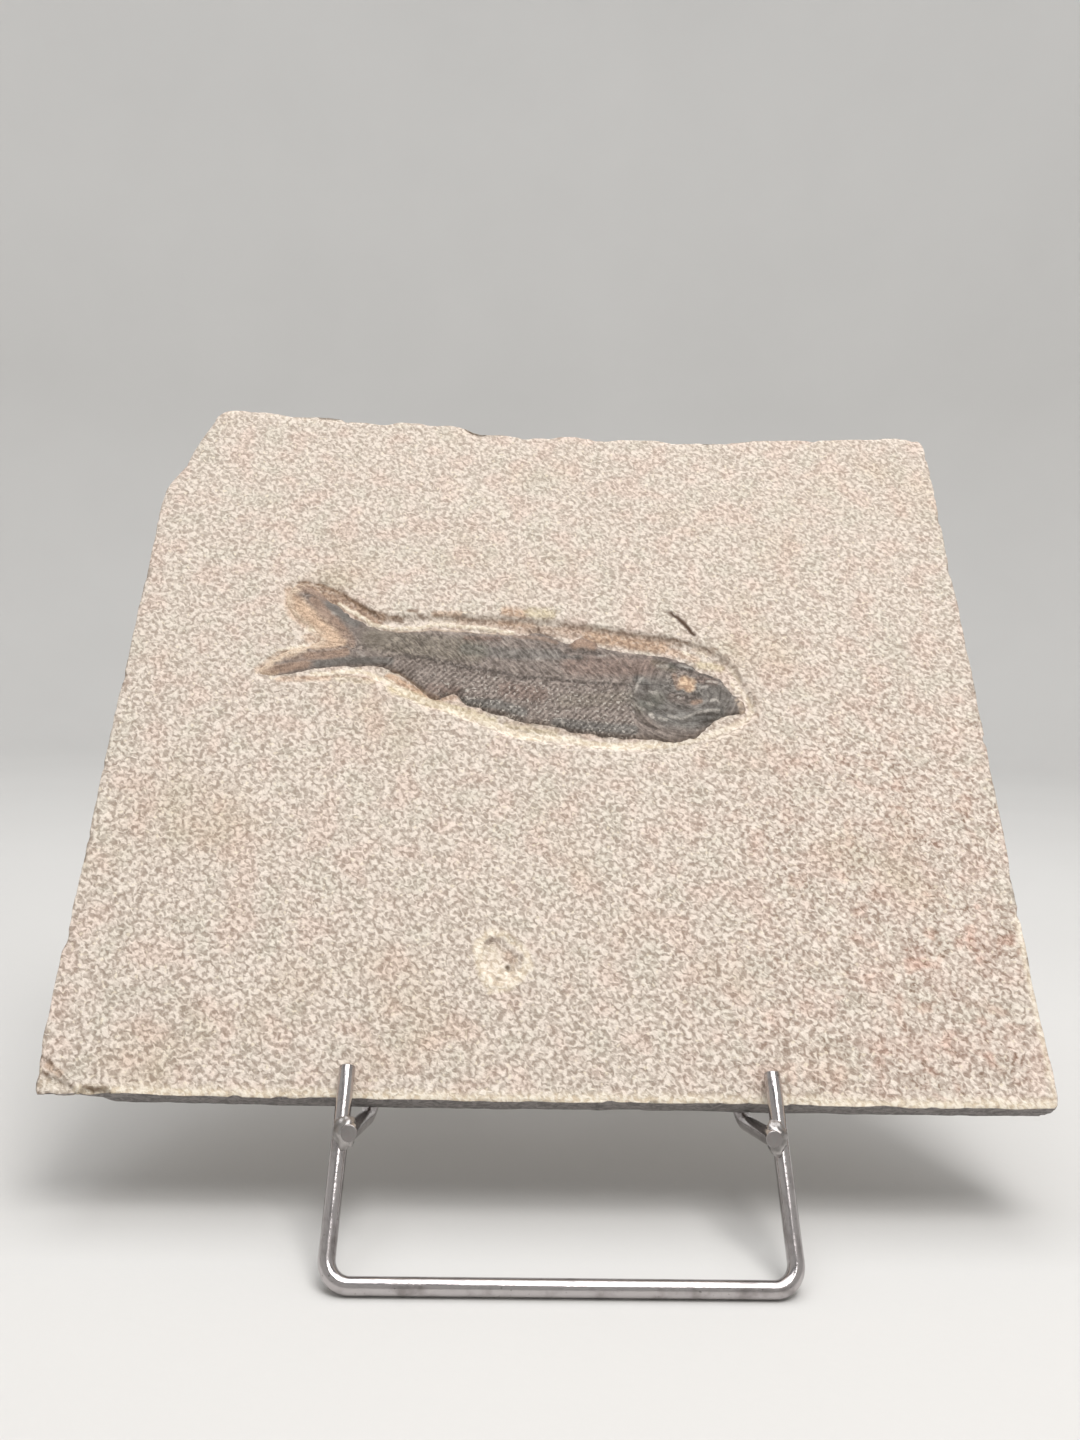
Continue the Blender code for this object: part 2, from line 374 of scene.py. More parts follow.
@dataclass(frozen=True)
class SlabPlane:
    """The slab's front face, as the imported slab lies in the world."""

    foot: float  # where its bottom edge lies along the face's upward direction, in metres
    front: float  # where its face lies along the outward direction, in metres
    lean: float

    @classmethod
    def of_packed_slab(cls, lean: float = math.radians(30.0), dip: float = 0.0001) -> "SlabPlane":
        """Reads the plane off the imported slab.

        Args:
            lean: How far it leans back from upright.
            dip: How far its outline dips below its bottom edge, in metres.

        Returns:
            The plane.
        """
        places = places_of(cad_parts["limestone_slab"])
        plane = cls(0.0, 0.0, lean)
        foot = float((places @ np.array(plane.upward)).min()) + dip
        return cls(foot, float((places @ np.array(plane.outward)).max()), lean)

    @property
    def upward(self) -> Vector:
        """The direction up the face."""
        return Vector((0.0, math.sin(self.lean), math.cos(self.lean)))

    @property
    def outward(self) -> Vector:
        """The direction out of the face."""
        return Vector((0.0, -math.cos(self.lean), math.sin(self.lean)))

    @property
    def origin(self) -> Vector:
        """The middle of the face's bottom edge, in world metres."""
        return self.upward * self.foot + self.outward * self.front

    def point(self, x: float, up: float, out: float) -> Vector:
        """The world place, in metres, of a point given in the plane, in millimetres."""
        return self.origin + (Vector((1.0, 0.0, 0.0)) * x + self.upward * up + self.outward * out) * MM

    def lay(self, piece: bpy.types.Object, places: Places) -> None:
        """Closes up a piece that was modelled flat, in millimetres, and brings it to its place.

        Args:
            piece: The piece.
            places: Where its vertices belong in the plane.
        """
        move_to(piece, places)
        edit(piece, whole=True)
        bpy.ops.mesh.remove_doubles(threshold=0.1 * TOUCH)
        bpy.ops.mesh.normals_make_consistent(inside=False)
        leave_edit()
        piece.data.shade_smooth()
        turn = Matrix.Rotation(math.pi / 2.0 - self.lean, 4, "X")
        set_down(piece, Matrix.Translation(self.origin) @ turn @ Matrix.Scale(MM, 4))


# ---------------------------------------------------------------------------------------------
# Finishes
# ---------------------------------------------------------------------------------------------


def tone(red: int, green: int, blue: int) -> Colour:
    """A colour given as a screen shows it, from 0 to 255, in the renderer's own numbers."""
    shares = (value / 255.0 for value in (red, green, blue))
    return tuple(share / 12.92 if share <= 0.04045 else ((share + 0.055) / 1.055) ** 2.4 for share in shares)


Socket = Any  # a node's output socket, a number, a colour or a vector
Wash = tuple[str, Colour, Colour]  # a mask's name, and the dark and the light colour that it lays on


@dataclass(frozen=True)
class Cloud:
    """Noise whose patches are about a pitch across, cut to an S curve between two levels if they are given."""

    pitch: float
    detail: float = 2.0
    rough: float = 0.5
    wander: float = 0.0
    levels: tuple[float, float] | None = None
    to: tuple[float, float] = (0.0, 1.0)  # what the curve runs from and to


class Recipe:
    """A node material that is put together a node at a time."""

    def __init__(self, name: str) -> None:
        """Starts an empty material with its shader and output."""
        self.material = bpy.data.materials.new(name)
        self.material.use_nodes = True
        self.tree = self.material.node_tree
        self.shader = self.tree.nodes["Principled BSDF"]

    def put(self, target: Any, value: Socket) -> None:
        """Links a socket into another, or sets its value."""
        if isinstance(value, bpy.types.NodeSocket):
            self.tree.links.new(value, target)
        elif isinstance(value, tuple) and target.type == "RGBA":
            target.default_value = (*value[:3], 1.0)
        else:
            target.default_value = value

    def node(self, kind: str, values: dict[Any, Socket], out: Any = 0, **settings: Any) -> Socket:
        """Adds a node.

        Args:
            kind: The end of Blender's name for the node's type.
            values: What goes into its inputs, by name or number.
            out: Which output is wanted.
            settings: The node's own options.

        Returns:
            That output.
        """
        node = self.tree.nodes.new("ShaderNode" + kind)
        for key, value in settings.items():
            setattr(node, key, value)
        for key, value in values.items():
            self.put(node.inputs[key], value)
        return node.outputs[out]

    def place(self) -> Socket:
        """The surface's own place, in metres."""
        return self.node("TexCoord", {}, "Object")

    def face_place(self, plane: SlabPlane) -> Socket:
        """The surface's place in the slab's plane, in millimetres."""
        turn = (math.pi / 2.0 - plane.lean, 0.0, 0.0)
        values = {"Location": tuple(plane.origin), "Rotation": turn, "Scale": (MM, MM, MM)}
        values["Vector"] = self.place()
        return self.node("Mapping", values, vector_type="TEXTURE")

    def stretched(self, place: Socket, scale: Spot) -> Socket:
        """The place stretched along each axis."""
        return self.node("Mapping", {"Vector": place, "Scale": scale})

    def turned(self, place: Socket, degrees: float, scale: Spot) -> Socket:
        """The place turned about the slab's outward direction, then stretched along each axis."""
        turn = (0.0, 0.0, math.radians(degrees))
        return self.stretched(self.node("Mapping", {"Vector": place, "Rotation": turn}), scale)

    def cloud(self, place: Socket, cloud: Cloud) -> Socket:
        """A cloud's noise at a place, from 0 to 1."""
        values = {"Vector": place, "Scale": 1.0 / cloud.pitch, "Detail": cloud.detail, "Roughness": cloud.rough}
        noise_out = self.node("TexNoise", {**values, "Distortion": cloud.wander}, "Fac")
        return self.band(noise_out, *cloud.levels, cloud.to) if cloud.levels else noise_out

    def band(self, value: Socket, low: float, high: float, to: tuple[float, float] = (0.0, 1.0)) -> Socket:
        """The value's S curve between two levels, run from one number to another."""
        values = {"Value": value, 1: low, 2: high, 3: to[0], 4: to[1]}
        return self.node("MapRange", values, interpolation_type="SMOOTHSTEP")

    def times(self, one: Socket, other: Socket) -> Socket:
        """A number times another, kept between 0 and 1."""
        return self.node("Math", {0: one, 1: other}, operation="MULTIPLY", use_clamp=True)

    def plus(self, one: Socket, other: Socket, held: bool = True) -> Socket:
        """A number and another, kept between 0 and 1 if they are to be held."""
        return self.node("Math", {0: one, 1: other}, operation="ADD", use_clamp=held)

    def blend(self, share: Socket, under: Socket, over: Socket) -> Socket:
        """A number mixed with another by a share."""
        return self.node("Mix", {0: share, 2: under, 3: over}, data_type="FLOAT")

    def mix(self, share: Socket, under: Socket, over: Socket, kind: str = "MIX") -> Socket:
        """A colour laid over another by a share."""
        return self.node("Mix", {0: share, 6: under, 7: over}, 2, data_type="RGBA", blend_type=kind)

    def tinted(self, share: Socket, under: Socket, over: Colour) -> Socket:
        """A colour tinted with another by a share."""
        return self.mix(share, under, over, "MULTIPLY")

    def mask(self, name: str) -> Socket:
        """A number that the mesh carries."""
        return self.node("Attribute", {}, "Fac", attribute_name=name)

    def axis(self, place: Socket, which: str) -> Socket:
        """One coordinate of a place."""
        return self.node("SeparateXYZ", {0: place}, which)

    def bump(self, height: Socket, depth: float, **under: Socket) -> Socket:
        """Small relief of a depth in metres, on top of any other, given as Normal."""
        return self.node("Bump", {"Height": height, "Strength": 1.0, "Distance": depth, **under})

    def shade(self, **values: Socket) -> bpy.types.Material:
        """Sets the shader's inputs, named with underscores for spaces, and gives the material."""
        for key, value in values.items():
            self.put(self.shader.inputs[key.replace("_", " ")], value)
        return self.material


@dataclass(frozen=True)
class Finish:
    """A surface finish that makes its own node material once and shares it."""

    name: str

    def material(self) -> bpy.types.Material:
        """The finish's material, made the first time that it is asked for."""
        made = bpy.data.materials.get(self.name)
        return made if made else self.mixed(Recipe(self.name))

    def mixed(self, mixer: Recipe) -> bpy.types.Material:
        """Makes the material with a mixer."""
        raise NotImplementedError


@dataclass(frozen=True)
class LimestoneFinish(Finish):
    """Fine warm limestone with a worm-like mottle, and the stains round the fossil, with painted highlight and
    shade on the trench's rims and painted shade on the underside.
    """

    plane: SlabPlane
    light: Colour = tone(249, 238, 226)
    dark: Colour = tone(146, 129, 115)
    rust: Colour = tone(140, 108, 92)
    pink: Colour = tone(255, 248, 247)
    lichen: Colour = tone(248, 252, 250)
    sore: Colour = tone(250, 232, 226)
    straw: Colour = tone(226, 205, 170)
    cream: Colour = tone(240, 228, 206)
    brown: Colour = tone(122, 98, 78)
    bone: Colour = tone(84, 66, 54)
    edge: Colour = tone(196, 186, 174)
    # Painted shade: the slab's underside is darkened to these two greys, for the shade beneath it.
    underside_shade_dark: Colour = tone(112, 108, 106)
    underside_shade_light: Colour = tone(146, 141, 138)
    washes: tuple[Wash, ...] = (
        ("stain_tan", tone(152, 122, 100), tone(218, 184, 154)),
        ("stain_umber", tone(118, 95, 78), tone(190, 162, 140)),
        ("stain_straw", tone(166, 150, 118), tone(228, 214, 182)),
        # Partly pale stain, partly painted highlight along the trench's lower rims and the thin line above the
        # fish.
        ("pale_stain_and_painted_highlight", tone(214, 196, 170), tone(252, 244, 228)),
        # Partly brown stain, partly painted shade under the trench's top edge and outside the pit's upper rim.
        ("brown_stain_and_painted_shade", tone(104, 82, 64), tone(150, 124, 102)),
    )
    worms: Cloud = Cloud(1.04, 0.7, 0.4, 0.7, (0.3, 0.7))
    knots: Cloud = Cloud(1.7, 1.0, 0.5, 1.2, (0.3, 0.7))
    lumps: Cloud = Cloud(3.4, 1.0, 0.5, 1.2, (0.32, 0.68))
    grain: Cloud = Cloud(0.3, 2.0, 0.6)
    patches: Cloud = Cloud(14.0, 3.0, 0.6, 0.0, (0.36, 0.64), (0.2, 1.0))
    tint: Cloud = Cloud(8.0, 1.5)
    sores: Cloud = Cloud(4.6, 1.5, 0.5, 0.0, (0.52, 0.68), (0.0, 0.9))
    holes: Cloud = Cloud(1.3, 1.0, 0.5, 0.8, (0.40, 0.26), (0.0, 0.75))
    drift: Cloud = Cloud(34.0, 3.0, 0.55, 0.0, (0.5, 0.8), (0.0, 0.35))
    specks: Cloud = Cloud(1.1, 0.0, 0.5, 0.0, (0.70, 0.80), (0.0, 0.55))
    breaks: Cloud = Cloud(1.1, 2.0, 0.6, 0.0, (0.28, 0.54), (0.45, 1.0))
    gaps: Cloud = Cloud(2.6, 1.0, 0.5, 0.0, (0.40, 0.56), (0.3, 1.0))
    worm_lean: float = 38.0
    worm_stretch: Spot = (1.0, 1.18, 1.0)
    calm_share: float = 0.52  # of the light colour, where the mottle is faint
    relief_depth: float = 0.14 * MM

    def mixed(self, mixer: Recipe) -> bpy.types.Material:
        """Makes the material from the face's place and the mesh's stain masks."""
        place = mixer.face_place(self.plane)
        across, along = mixer.axis(place, "X"), mixer.axis(place, "Y")
        leaning = mixer.turned(place, self.worm_lean, self.worm_stretch)
        knots, grain = mixer.cloud(place, self.knots), mixer.cloud(place, self.grain)
        mottle = mixer.blend(0.2, mixer.cloud(leaning, self.worms), knots)
        mottle = mixer.blend(0.12, mottle, grain)

        right, low = mixer.band(across, 5.0, 92.0), mixer.band(along, 130.0, 30.0)
        redness = mixer.times(mixer.times(right, low), mixer.cloud(place, self.patches))
        mottle = mixer.blend(mixer.times(redness, 0.3), mottle, mixer.cloud(place, self.lumps))
        strength = mixer.plus(mixer.band(along, 170.0, 10.0, (0.70, 0.86)), mixer.times(redness, 0.4))

        ground = mixer.mix(mixer.times(redness, 0.6), self.dark, self.rust)
        stone = mixer.mix(mottle, ground, self.light)
        stone = mixer.mix(strength, mixer.mix(self.calm_share, ground, self.light), stone)
        tint = mixer.cloud(place, self.tint)
        stone = mixer.tinted(mixer.band(tint, 0.50, 0.66, (0.0, 0.8)), stone, self.pink)
        stone = mixer.tinted(mixer.band(tint, 0.46, 0.32, (0.0, 0.7)), stone, self.lichen)
        stone = mixer.tinted(mixer.times(mixer.cloud(place, self.sores), redness), stone, self.sore)
        holes = mixer.times(mixer.cloud(leaning, self.holes), mixer.plus(redness, 0.12))
        stone = mixer.mix(holes, stone, self.brown)
        stone = mixer.tinted(mixer.cloud(place, self.drift), stone, self.straw)
        stone = mixer.mix(mixer.cloud(place, self.specks), stone, self.cream)

        breaks, gaps = mixer.cloud(place, self.breaks), mixer.cloud(place, self.gaps)
        # The pale and brown washes also paint highlight and shade round the trench and the pit.
        for mask, dark, light in self.washes:
            amount = mixer.times(mixer.mask(mask), gaps if mask == "brown_stain_and_painted_shade" else breaks)
            stone = mixer.mix(amount, stone, mixer.mix(mottle, dark, light))
        stone = mixer.mix(mixer.mask("stain_bone"), stone, self.bone)
        stone = mixer.mix(mixer.mask("side"), stone, mixer.mix(mottle, self.dark, self.edge))
        # Painted shade on the slab's underside.
        stone = mixer.mix(mixer.mask("under"), stone, mixer.mix(knots, self.underside_shade_dark, self.underside_shade_light))

        rough = mixer.band(grain, 0.2, 0.8, (0.78, 0.96))
        relief = mixer.bump(mixer.plus(mottle, grain, held=False), self.relief_depth)
        return mixer.shade(Base_Color=stone, Roughness=rough, Normal=relief, Specular_IOR_Level=0.22)


@dataclass(frozen=True)
class BoneFinish(Finish):
    """Dark fossil bone and scales, grey-brown with pale flecks and fine slanting rows."""

    plane: SlabPlane
    deep: Colour = tone(87, 77, 71)
    pale: Colour = tone(169, 156, 147)
    ink: Colour = tone(58, 52, 48)
    fleck: Colour = tone(216, 208, 198)
    eye: Colour = tone(224, 196, 166)
    iris: Colour = tone(176, 146, 122)
    worn: tuple[Colour, Colour] = (tone(176, 150, 128), tone(234, 216, 194))
    tints: tuple[tuple[str, Colour], ...] = (
        ("moss", tone(238, 242, 232)),
        ("slate", tone(220, 232, 236)),
        ("rose", tone(242, 224, 218)),
    )
    washes: tuple[Wash, ...] = (
        ("umber", tone(112, 92, 78), tone(182, 154, 134)),
        ("amber", tone(144, 118, 98), tone(238, 208, 180)),
    )
    grain: Cloud = Cloud(0.4, 2.0, 0.6)
    dots: Cloud = Cloud(0.98, 0.8, 0.5, 0.7, (0.32, 0.70))
    blotch: Cloud = Cloud(3.4, 3.0, 0.6, 0.4)
    muscle: Cloud = Cloud(0.8, 1.0, 0.5, 0.5, (0.34, 0.68))
    arcs: Cloud = Cloud(1.1, 2.0, 0.6, 0.6, (0.30, 0.68))
    rays: Cloud = Cloud(1.0, 2.0, 0.6, 0.4, (0.30, 0.68))
    ragged: Cloud = Cloud(0.8, 2.0, 0.6, 0.0, (0.32, 0.62), (0.3, 1.0))
    faded: Cloud = Cloud(1.5, 2.0, 0.6, 0.0, (0.25, 0.55))
    flecks: Cloud = Cloud(0.72, 1.0, 0.5, 0.6, (0.58, 0.72), (0.0, 0.62))
    muscle_lean: float = 50.0
    muscle_stretch: Spot = (0.34, 1.0, 1.0)
    row_lean: float = -46.0
    row_stretch: Spot = (0.4, 1.0, 1.0)
    row_pitch: float = 1.04
    arc_stretch: Spot = (50.0, 8.0, 1.0)
    ray_stretch: Spot = (10.0, 90.0, 1.0)
    calm_level: float = 0.42
    relief_depth: float = 0.16 * MM

    def mixed(self, mixer: Recipe) -> bpy.types.Material:
        """Makes the material from the face's place and the mesh's own masks."""
        place = mixer.face_place(self.plane)
        grain, dots, blotch = (mixer.cloud(place, cloud) for cloud in (self.grain, self.dots, self.blotch))
        muscle = mixer.cloud(mixer.turned(place, self.muscle_lean, self.muscle_stretch), self.muscle)
        rows = mixer.turned(place, self.row_lean, self.row_stretch)
        values = {"Vector": rows, "Scale": math.pi / 10.0 / self.row_pitch, "Distortion": 1.9}
        values |= {"Detail": 2.0, "Detail Scale": 2.0}
        hatch = mixer.node("TexWave", values, "Fac", bands_direction="Y")
        fan = mixer.node("CombineXYZ", {0: mixer.mask("reach"), 1: mixer.mask("swing")})
        arcs = mixer.cloud(mixer.stretched(fan, self.arc_stretch), self.arcs)
        rays = mixer.cloud(mixer.stretched(fan, self.ray_stretch), self.rays)

        pattern = mixer.blend(mixer.times(mixer.mask("back"), 0.6), dots, muscle)
        pattern = mixer.blend(mixer.times(mixer.mask("belly"), 0.36), pattern, hatch)
        outer = mixer.band(mixer.mask("reach"), 0.09, 0.16, (0.0, 0.55))
        pattern = mixer.blend(mixer.times(mixer.mask("head"), outer), pattern, arcs)
        pattern = mixer.blend(0.15, pattern, grain)
        pattern = mixer.blend(mixer.mask("calm"), pattern, self.calm_level)
        bone = mixer.mix(pattern, self.deep, self.pale)
        bone = mixer.mix(mixer.band(blotch, 0.46, 0.68, (0.0, 0.35)), bone, self.deep)
        for mask, tint in self.tints:
            bone = mixer.tinted(mixer.mask(mask), bone, tint)

        streaked = mixer.blend(0.3, mixer.blend(0.65, dots, rays), mixer.band(grain, 0.36, 0.64))
        for mask, dark, light in self.washes:
            bone = mixer.mix(mixer.mask(mask), bone, mixer.mix(streaked, dark, light))
        ragged = mixer.cloud(place, self.ragged)
        inked = mixer.times(mixer.mask("ink"), mixer.times(ragged, 0.9))
        bone = mixer.mix(inked, bone, mixer.mix(grain, self.ink, self.deep))
        bone = mixer.mix(mixer.times(mixer.mask("light"), mixer.times(ragged, 0.85)), bone, self.fleck)
        bone = mixer.mix(mixer.mask("eye"), bone, mixer.mix(dots, self.iris, self.eye))
        faded = mixer.times(mixer.mask("fade"), mixer.cloud(place, self.faded))
        bone = mixer.mix(faded, bone, mixer.mix(streaked, *self.worn))
        bone = mixer.mix(mixer.times(mixer.cloud(place, self.flecks), mixer.mask("fleck")), bone, self.fleck)

        rough = mixer.band(blotch, 0.2, 0.8, (0.55, 0.8))
        relief = mixer.bump(mixer.plus(pattern, grain, held=False), self.relief_depth)
        return mixer.shade(Base_Color=bone, Roughness=rough, Normal=relief, Specular_IOR_Level=0.3)


@dataclass(frozen=True)
class PlatedFinish(Finish):
    """Bright nickel plating with fine pits, drawing marks and a little haze, its greys tinted pink as a painted
    reflection of the stone.
    """

    # Both greys carry a pink tint, a painted reflection of the stone.
    bright: Colour = tone(192, 187, 187)
    dull: Colour = tone(150, 144, 143)
    cut: Colour = tone(150, 147, 145)
    pitted: Colour = tone(70, 66, 62)
    least_rough: float = 0.12
    most_rough: float = 0.27
    cut_rough: float = 0.5
    haze: Cloud = Cloud(5.0 * MM, 3.0, 0.6)
    pits: Cloud = Cloud(0.6 * MM)
    ripples: Cloud = Cloud(3.0 * MM)
    pit_depth: float = 0.02 * MM
    ripple_depth: float = 0.04 * MM

    def mixed(self, mixer: Recipe) -> bpy.types.Material:
        """Makes the material from Object coordinates and the mask of the cut ends."""
        place, cut_end = mixer.place(), mixer.mask("cut_end")
        haze, pits = mixer.cloud(place, self.haze), mixer.cloud(place, self.pits)
        steel = mixer.mix(mixer.band(haze, 0.45, 0.75), self.bright, self.dull)
        steel = mixer.mix(mixer.band(pits, 0.68, 0.76, (0.0, 0.6)), steel, self.pitted)
        steel = mixer.mix(cut_end, steel, mixer.mix(mixer.band(pits, 0.35, 0.65), self.cut, self.dull))
        rough = mixer.band(haze, 0.3, 0.75, (self.least_rough, self.most_rough))
        rough = mixer.blend(cut_end, rough, self.cut_rough)
        dents = mixer.bump(pits, self.pit_depth)
        relief = mixer.bump(mixer.cloud(place, self.ripples), self.ripple_depth, Normal=dents)
        return mixer.shade(Base_Color=steel, Metallic=1.0, Roughness=rough, Normal=relief)


@dataclass(frozen=True)
class FloorFinish(Finish):
    """A plain pale studio floor with the faintest grain."""

    pale: Colour = tone(214, 213, 211)
    shaded: Colour = tone(206, 205, 203)
    drift: Cloud = Cloud(0.25, 3.0)
    grain: Cloud = Cloud(1.5 * MM)
    relief_depth: float = 0.04 * MM

    def mixed(self, mixer: Recipe) -> bpy.types.Material:
        """Makes the material from Object coordinates."""
        place = mixer.place()
        paper = mixer.mix(mixer.cloud(place, self.drift), self.pale, self.shaded)
        relief = mixer.bump(mixer.cloud(place, self.grain), self.relief_depth)
        return mixer.shade(Base_Color=paper, Roughness=0.75, Normal=relief, Specular_IOR_Level=0.2)


# ---------------------------------------------------------------------------------------------
# The slab
# ---------------------------------------------------------------------------------------------

TRENCH = rounded(
    traced(
        -69.6, 94.8, -60, 94.6, -47.6, 97, -42.5, 95.2, -37.2, 92.4, -31, 89, -25, 87.6, -17, 84.2,
        -6.5, 81, 4, 79.6, 15, 79, 28, 78.4, 34, 80.2, 40, 83.4, 45.6, 87.2, 47.2, 90.2, 46, 94.6,
        43.6, 99.6, 40.8, 103.6, 36.5, 106.6, 30, 108.4, 22, 109.8, 9, 111.6, -4, 113, -18, 113.4,
        -31, 113.3, -40, 112.6, -45.2, 113.8, -50.4, 117.4, -57, 121.6, -63.5, 122.8, -66.4, 120.6,
        -67.4, 115, -62, 109, -66, 102.6, -70.4, 97.4,
    ),
    steps=3,
)

TRENCH_DEPTH = 1.15
TAIL_DEPTH = 0.36  # the trench's depth round the tail, as a share of its depth round the body


def trench_floor(x: Values) -> Values:
    """How deep the trench is at each X: it runs out towards the tail."""
    return TRENCH_DEPTH * (TAIL_DEPTH + (1.0 - TAIL_DEPTH) * ramp(x, -62.0, -38.0))


@dataclass
class LimestoneSlab:
    """The slab: a split plate of limestone with the trench, the pit and its chipped edges."""

    plane: SlabPlane
    half_width: float = 102.0
    height: float = 177.0
    thickness: float = 10.0
    cells: tuple[int, int] = (214, 186)
    back_cells: tuple[int, int] = (102, 88)
    rings: tuple[float, ...] = (0.25, 0.6, 1.2, 2.2, 3.4, 4.7, 6.0, 7.2, 8.3, 9.2, 9.7)
    rounding: float = 0.3
    # The side edges as up and X, then the bottom and top edges as X and up.
    left_edge: Line = traced(
        0, -101.6, 1, -102.2, 3, -102.5, 12, -102.9, 20, -102.9, 30, -102.6, 36, -102.5, 60, -102.5,
        80, -102.6, 92, -102.3, 104, -102.2, 128, -102, 146, -101.9, 150, -101.5, 152.2, -100.8,
        155.2, -99.1, 158.2, -97.4, 161, -97, 164, -96.1, 170, -93.9, 173, -92.6, 175.2, -92, 177.2, -90.2,
    )
    right_edge: Line = traced(
        0, 101.4, 1, 102.1, 3, 102.5, 8, 102.4, 13, 102.1, 20, 101.9, 34, 101.8, 46, 101.7, 56, 102.1,
        84, 102.1, 102, 102.2, 140, 102, 162, 101.8, 172, 101.6, 174.4, 101.2, 175.8, 100.2,
    )
    bottom_edge: Line = traced(
        -101.6, 0, -84, 0.3, -60, 0, -20, -0.1, 20, 0.1, 62, -0.1, 101.4, 0,
    )
    top_edge: Line = traced(
        -90.2, 177.2, -87, 177.8, -77.5, 177.6, -76, 177.4, -74.4, 176.8, -71, 176.5, -67, 176.3,
        -62, 176.5, -59.4, 176.2, -57, 175.5, -53, 175.4, -49, 175, -46.4, 174.7, -44.4, 175.3, -43, 175.7,
        -38, 175.7, -33, 175.3, -29, 175.4, -26.4, 174.9, -23.6, 173.9, -21.4, 172.9, -18, 172.6,
        -13, 172.7, -9, 172, -3, 172.2, 0.4, 172.6, 3, 173.1, 5.4, 172.9, 7.4, 172.3, 11, 172, 16, 172.1,
        20, 172.6, 25.6, 172.8, 28.4, 172.1, 32, 171.8, 39, 172.1, 46.4, 172.3, 48.4, 173, 54, 173.9,
        64, 174.4, 70.4, 174.4, 77, 175.1, 84, 175.7, 91, 176.2, 97.4, 176.3, 100.2, 175.8,
    )
    fine_margin: tuple[float, float] = (-5.0, 4.5)  # round the trench's rim, outside it and inside it
    fine_zones: tuple[tuple[float, float, float, float], ...] = (
        (-18.0, 21.0, -5.0, 35.0),
        (-102.0, 0.0, -86.0, 10.5),
        (26.4, 109.0, 35.6, 118.6),
    )
    pit: tuple[float, float] = (-11.2, 28.4)
    pit_radius: float = 4.3
    pit_depth: float = 0.9
    pit_lip: float = 0.2
    hollow: float = 0.05  # how far the face's middle level lies below its plane
    back_rise: float = 0.1  # and the back's above its own
    chip_above: float = 0.28  # how strong the chipping noise is where a chip starts
    chip_depth: float = 1.6
    face_waves: tuple[Wave, ...] = ((0.16, 34.0, 3.1), (0.05, 6.0, 8.4), (0.045, 1.5, 1.7))
    rim_waves: tuple[Wave, ...] = ((0.32, 2.8, 5.2), (0.04, 1.2, 2.2))
    tool_waves: tuple[Wave, ...] = ((0.10, 1.1, 6.6), (0.10, 3.0, 4.4))
    side_waves: tuple[Wave, ...] = ((0.30, 7.0, 2.5), (0.16, 2.6, 6.5))
    back_waves: tuple[Wave, ...] = ((0.22, 26.0, 4.9), (0.10, 5.0, 3.3))

    def build(self) -> bpy.types.Object:
        """Models the slab flat, lays it on its plane and dresses it.

        Returns:
            The slab.
        """
        piece = self.block_out()
        rest = places_of(piece)
        flat = self.fit_outline(rest)
        front = rest[:, 2] > FRONT
        add_mask(piece, "side", ~front)
        # The underside, which the finish darkens as painted shade.
        add_mask(piece, "under", (rest[:, 1] < TOUCH) & ~front)
        flat[:, 2] += self.front_relief(rest, flat) * front
        loose = on_face(flat) + strayed(flat[:, :2], 0.3, 2.0, (12.5, 17.5))
        for name, strokes in STONE_STAINS_AND_PAINTED_LIGHT.items():
            add_mask(piece, name, stroked(loose, strokes) * front)
        self.roughen_sides(rest, flat)
        self.plane.lay(piece, flat)
        finish_piece(piece, LimestoneFinish("limestone_mottled", self.plane), Slot.STONE, "limestone_slab")
        return piece

    def block_out(self) -> bpy.types.Object:
        """Makes the slab as a square-edged block of small cells.

        Returns:
            The block, its front face at 0 and its bottom edge at 0.
        """
        low, high = (-self.half_width, 0.0), (self.half_width, self.height)
        back = add_sheet("slab_back", self.back_cells, low, high, -self.thickness)
        edit(back, whole=True)
        bpy.ops.mesh.flip_normals()
        leave_edit()
        piece = add_sheet("limestone_slab_face", self.cells, low, high)
        fine = self.fine_faces(piece)
        edit(piece)
        pick(Pick.FACES, lambda face: fine[face.index])
        bpy.ops.mesh.subdivide(number_cuts=2)
        for before, ring in zip((0.0, *self.rings), self.rings):
            draw_out((0.0, 0.0, before - ring))
        leave_edit()
        select(back, piece)
        bpy.ops.object.join()
        edit(piece)
        pick(Pick.EDGES, lambda edge: edge.is_boundary)
        bpy.ops.mesh.bridge_edge_loops()
        leave_edit()
        return piece

    def fine_faces(self, piece: bpy.types.Object) -> Values:
        """Which faces lie round the trench's rim or in a zone of fine detail."""
        centres = rows_of(piece.data.polygons, "center")
        x, up = centres[:, 0], centres[:, 1]
        depth = outline_depth(centres, TRENCH)
        fine = (depth > self.fine_margin[0]) & (depth < self.fine_margin[1])
        for x0, up0, x1, up1 in self.fine_zones:
            fine |= (x0 < x) & (x < x1) & (up0 < up) & (up < up1)
        return fine

    def fit_outline(self, rest: Places) -> Places:
        """Stretches the square block to the slab's real outline.

        Args:
            rest: The block's places.

        Returns:
            The places fitted to the outline, their heights unchanged.
        """
        edges = (self.left_edge, self.right_edge, self.bottom_edge, self.top_edge)
        left, right, bottom, top = (np.array(edge).T for edge in edges)
        share_x = (rest[:, 0] / self.half_width + 1.0) / 2.0
        share_up = rest[:, 1] / self.height
        x, up = rest[:, 0].copy(), rest[:, 1].copy()
        for _ in range(4):
            low, high = np.interp(up, *left), np.interp(up, *right)
            x = low + (high - low) * share_x
            low, high = np.interp(x, *bottom), np.interp(x, *top)
            up = low + (high - low) * share_up
        return np.column_stack((x, up, rest[:, 2]))

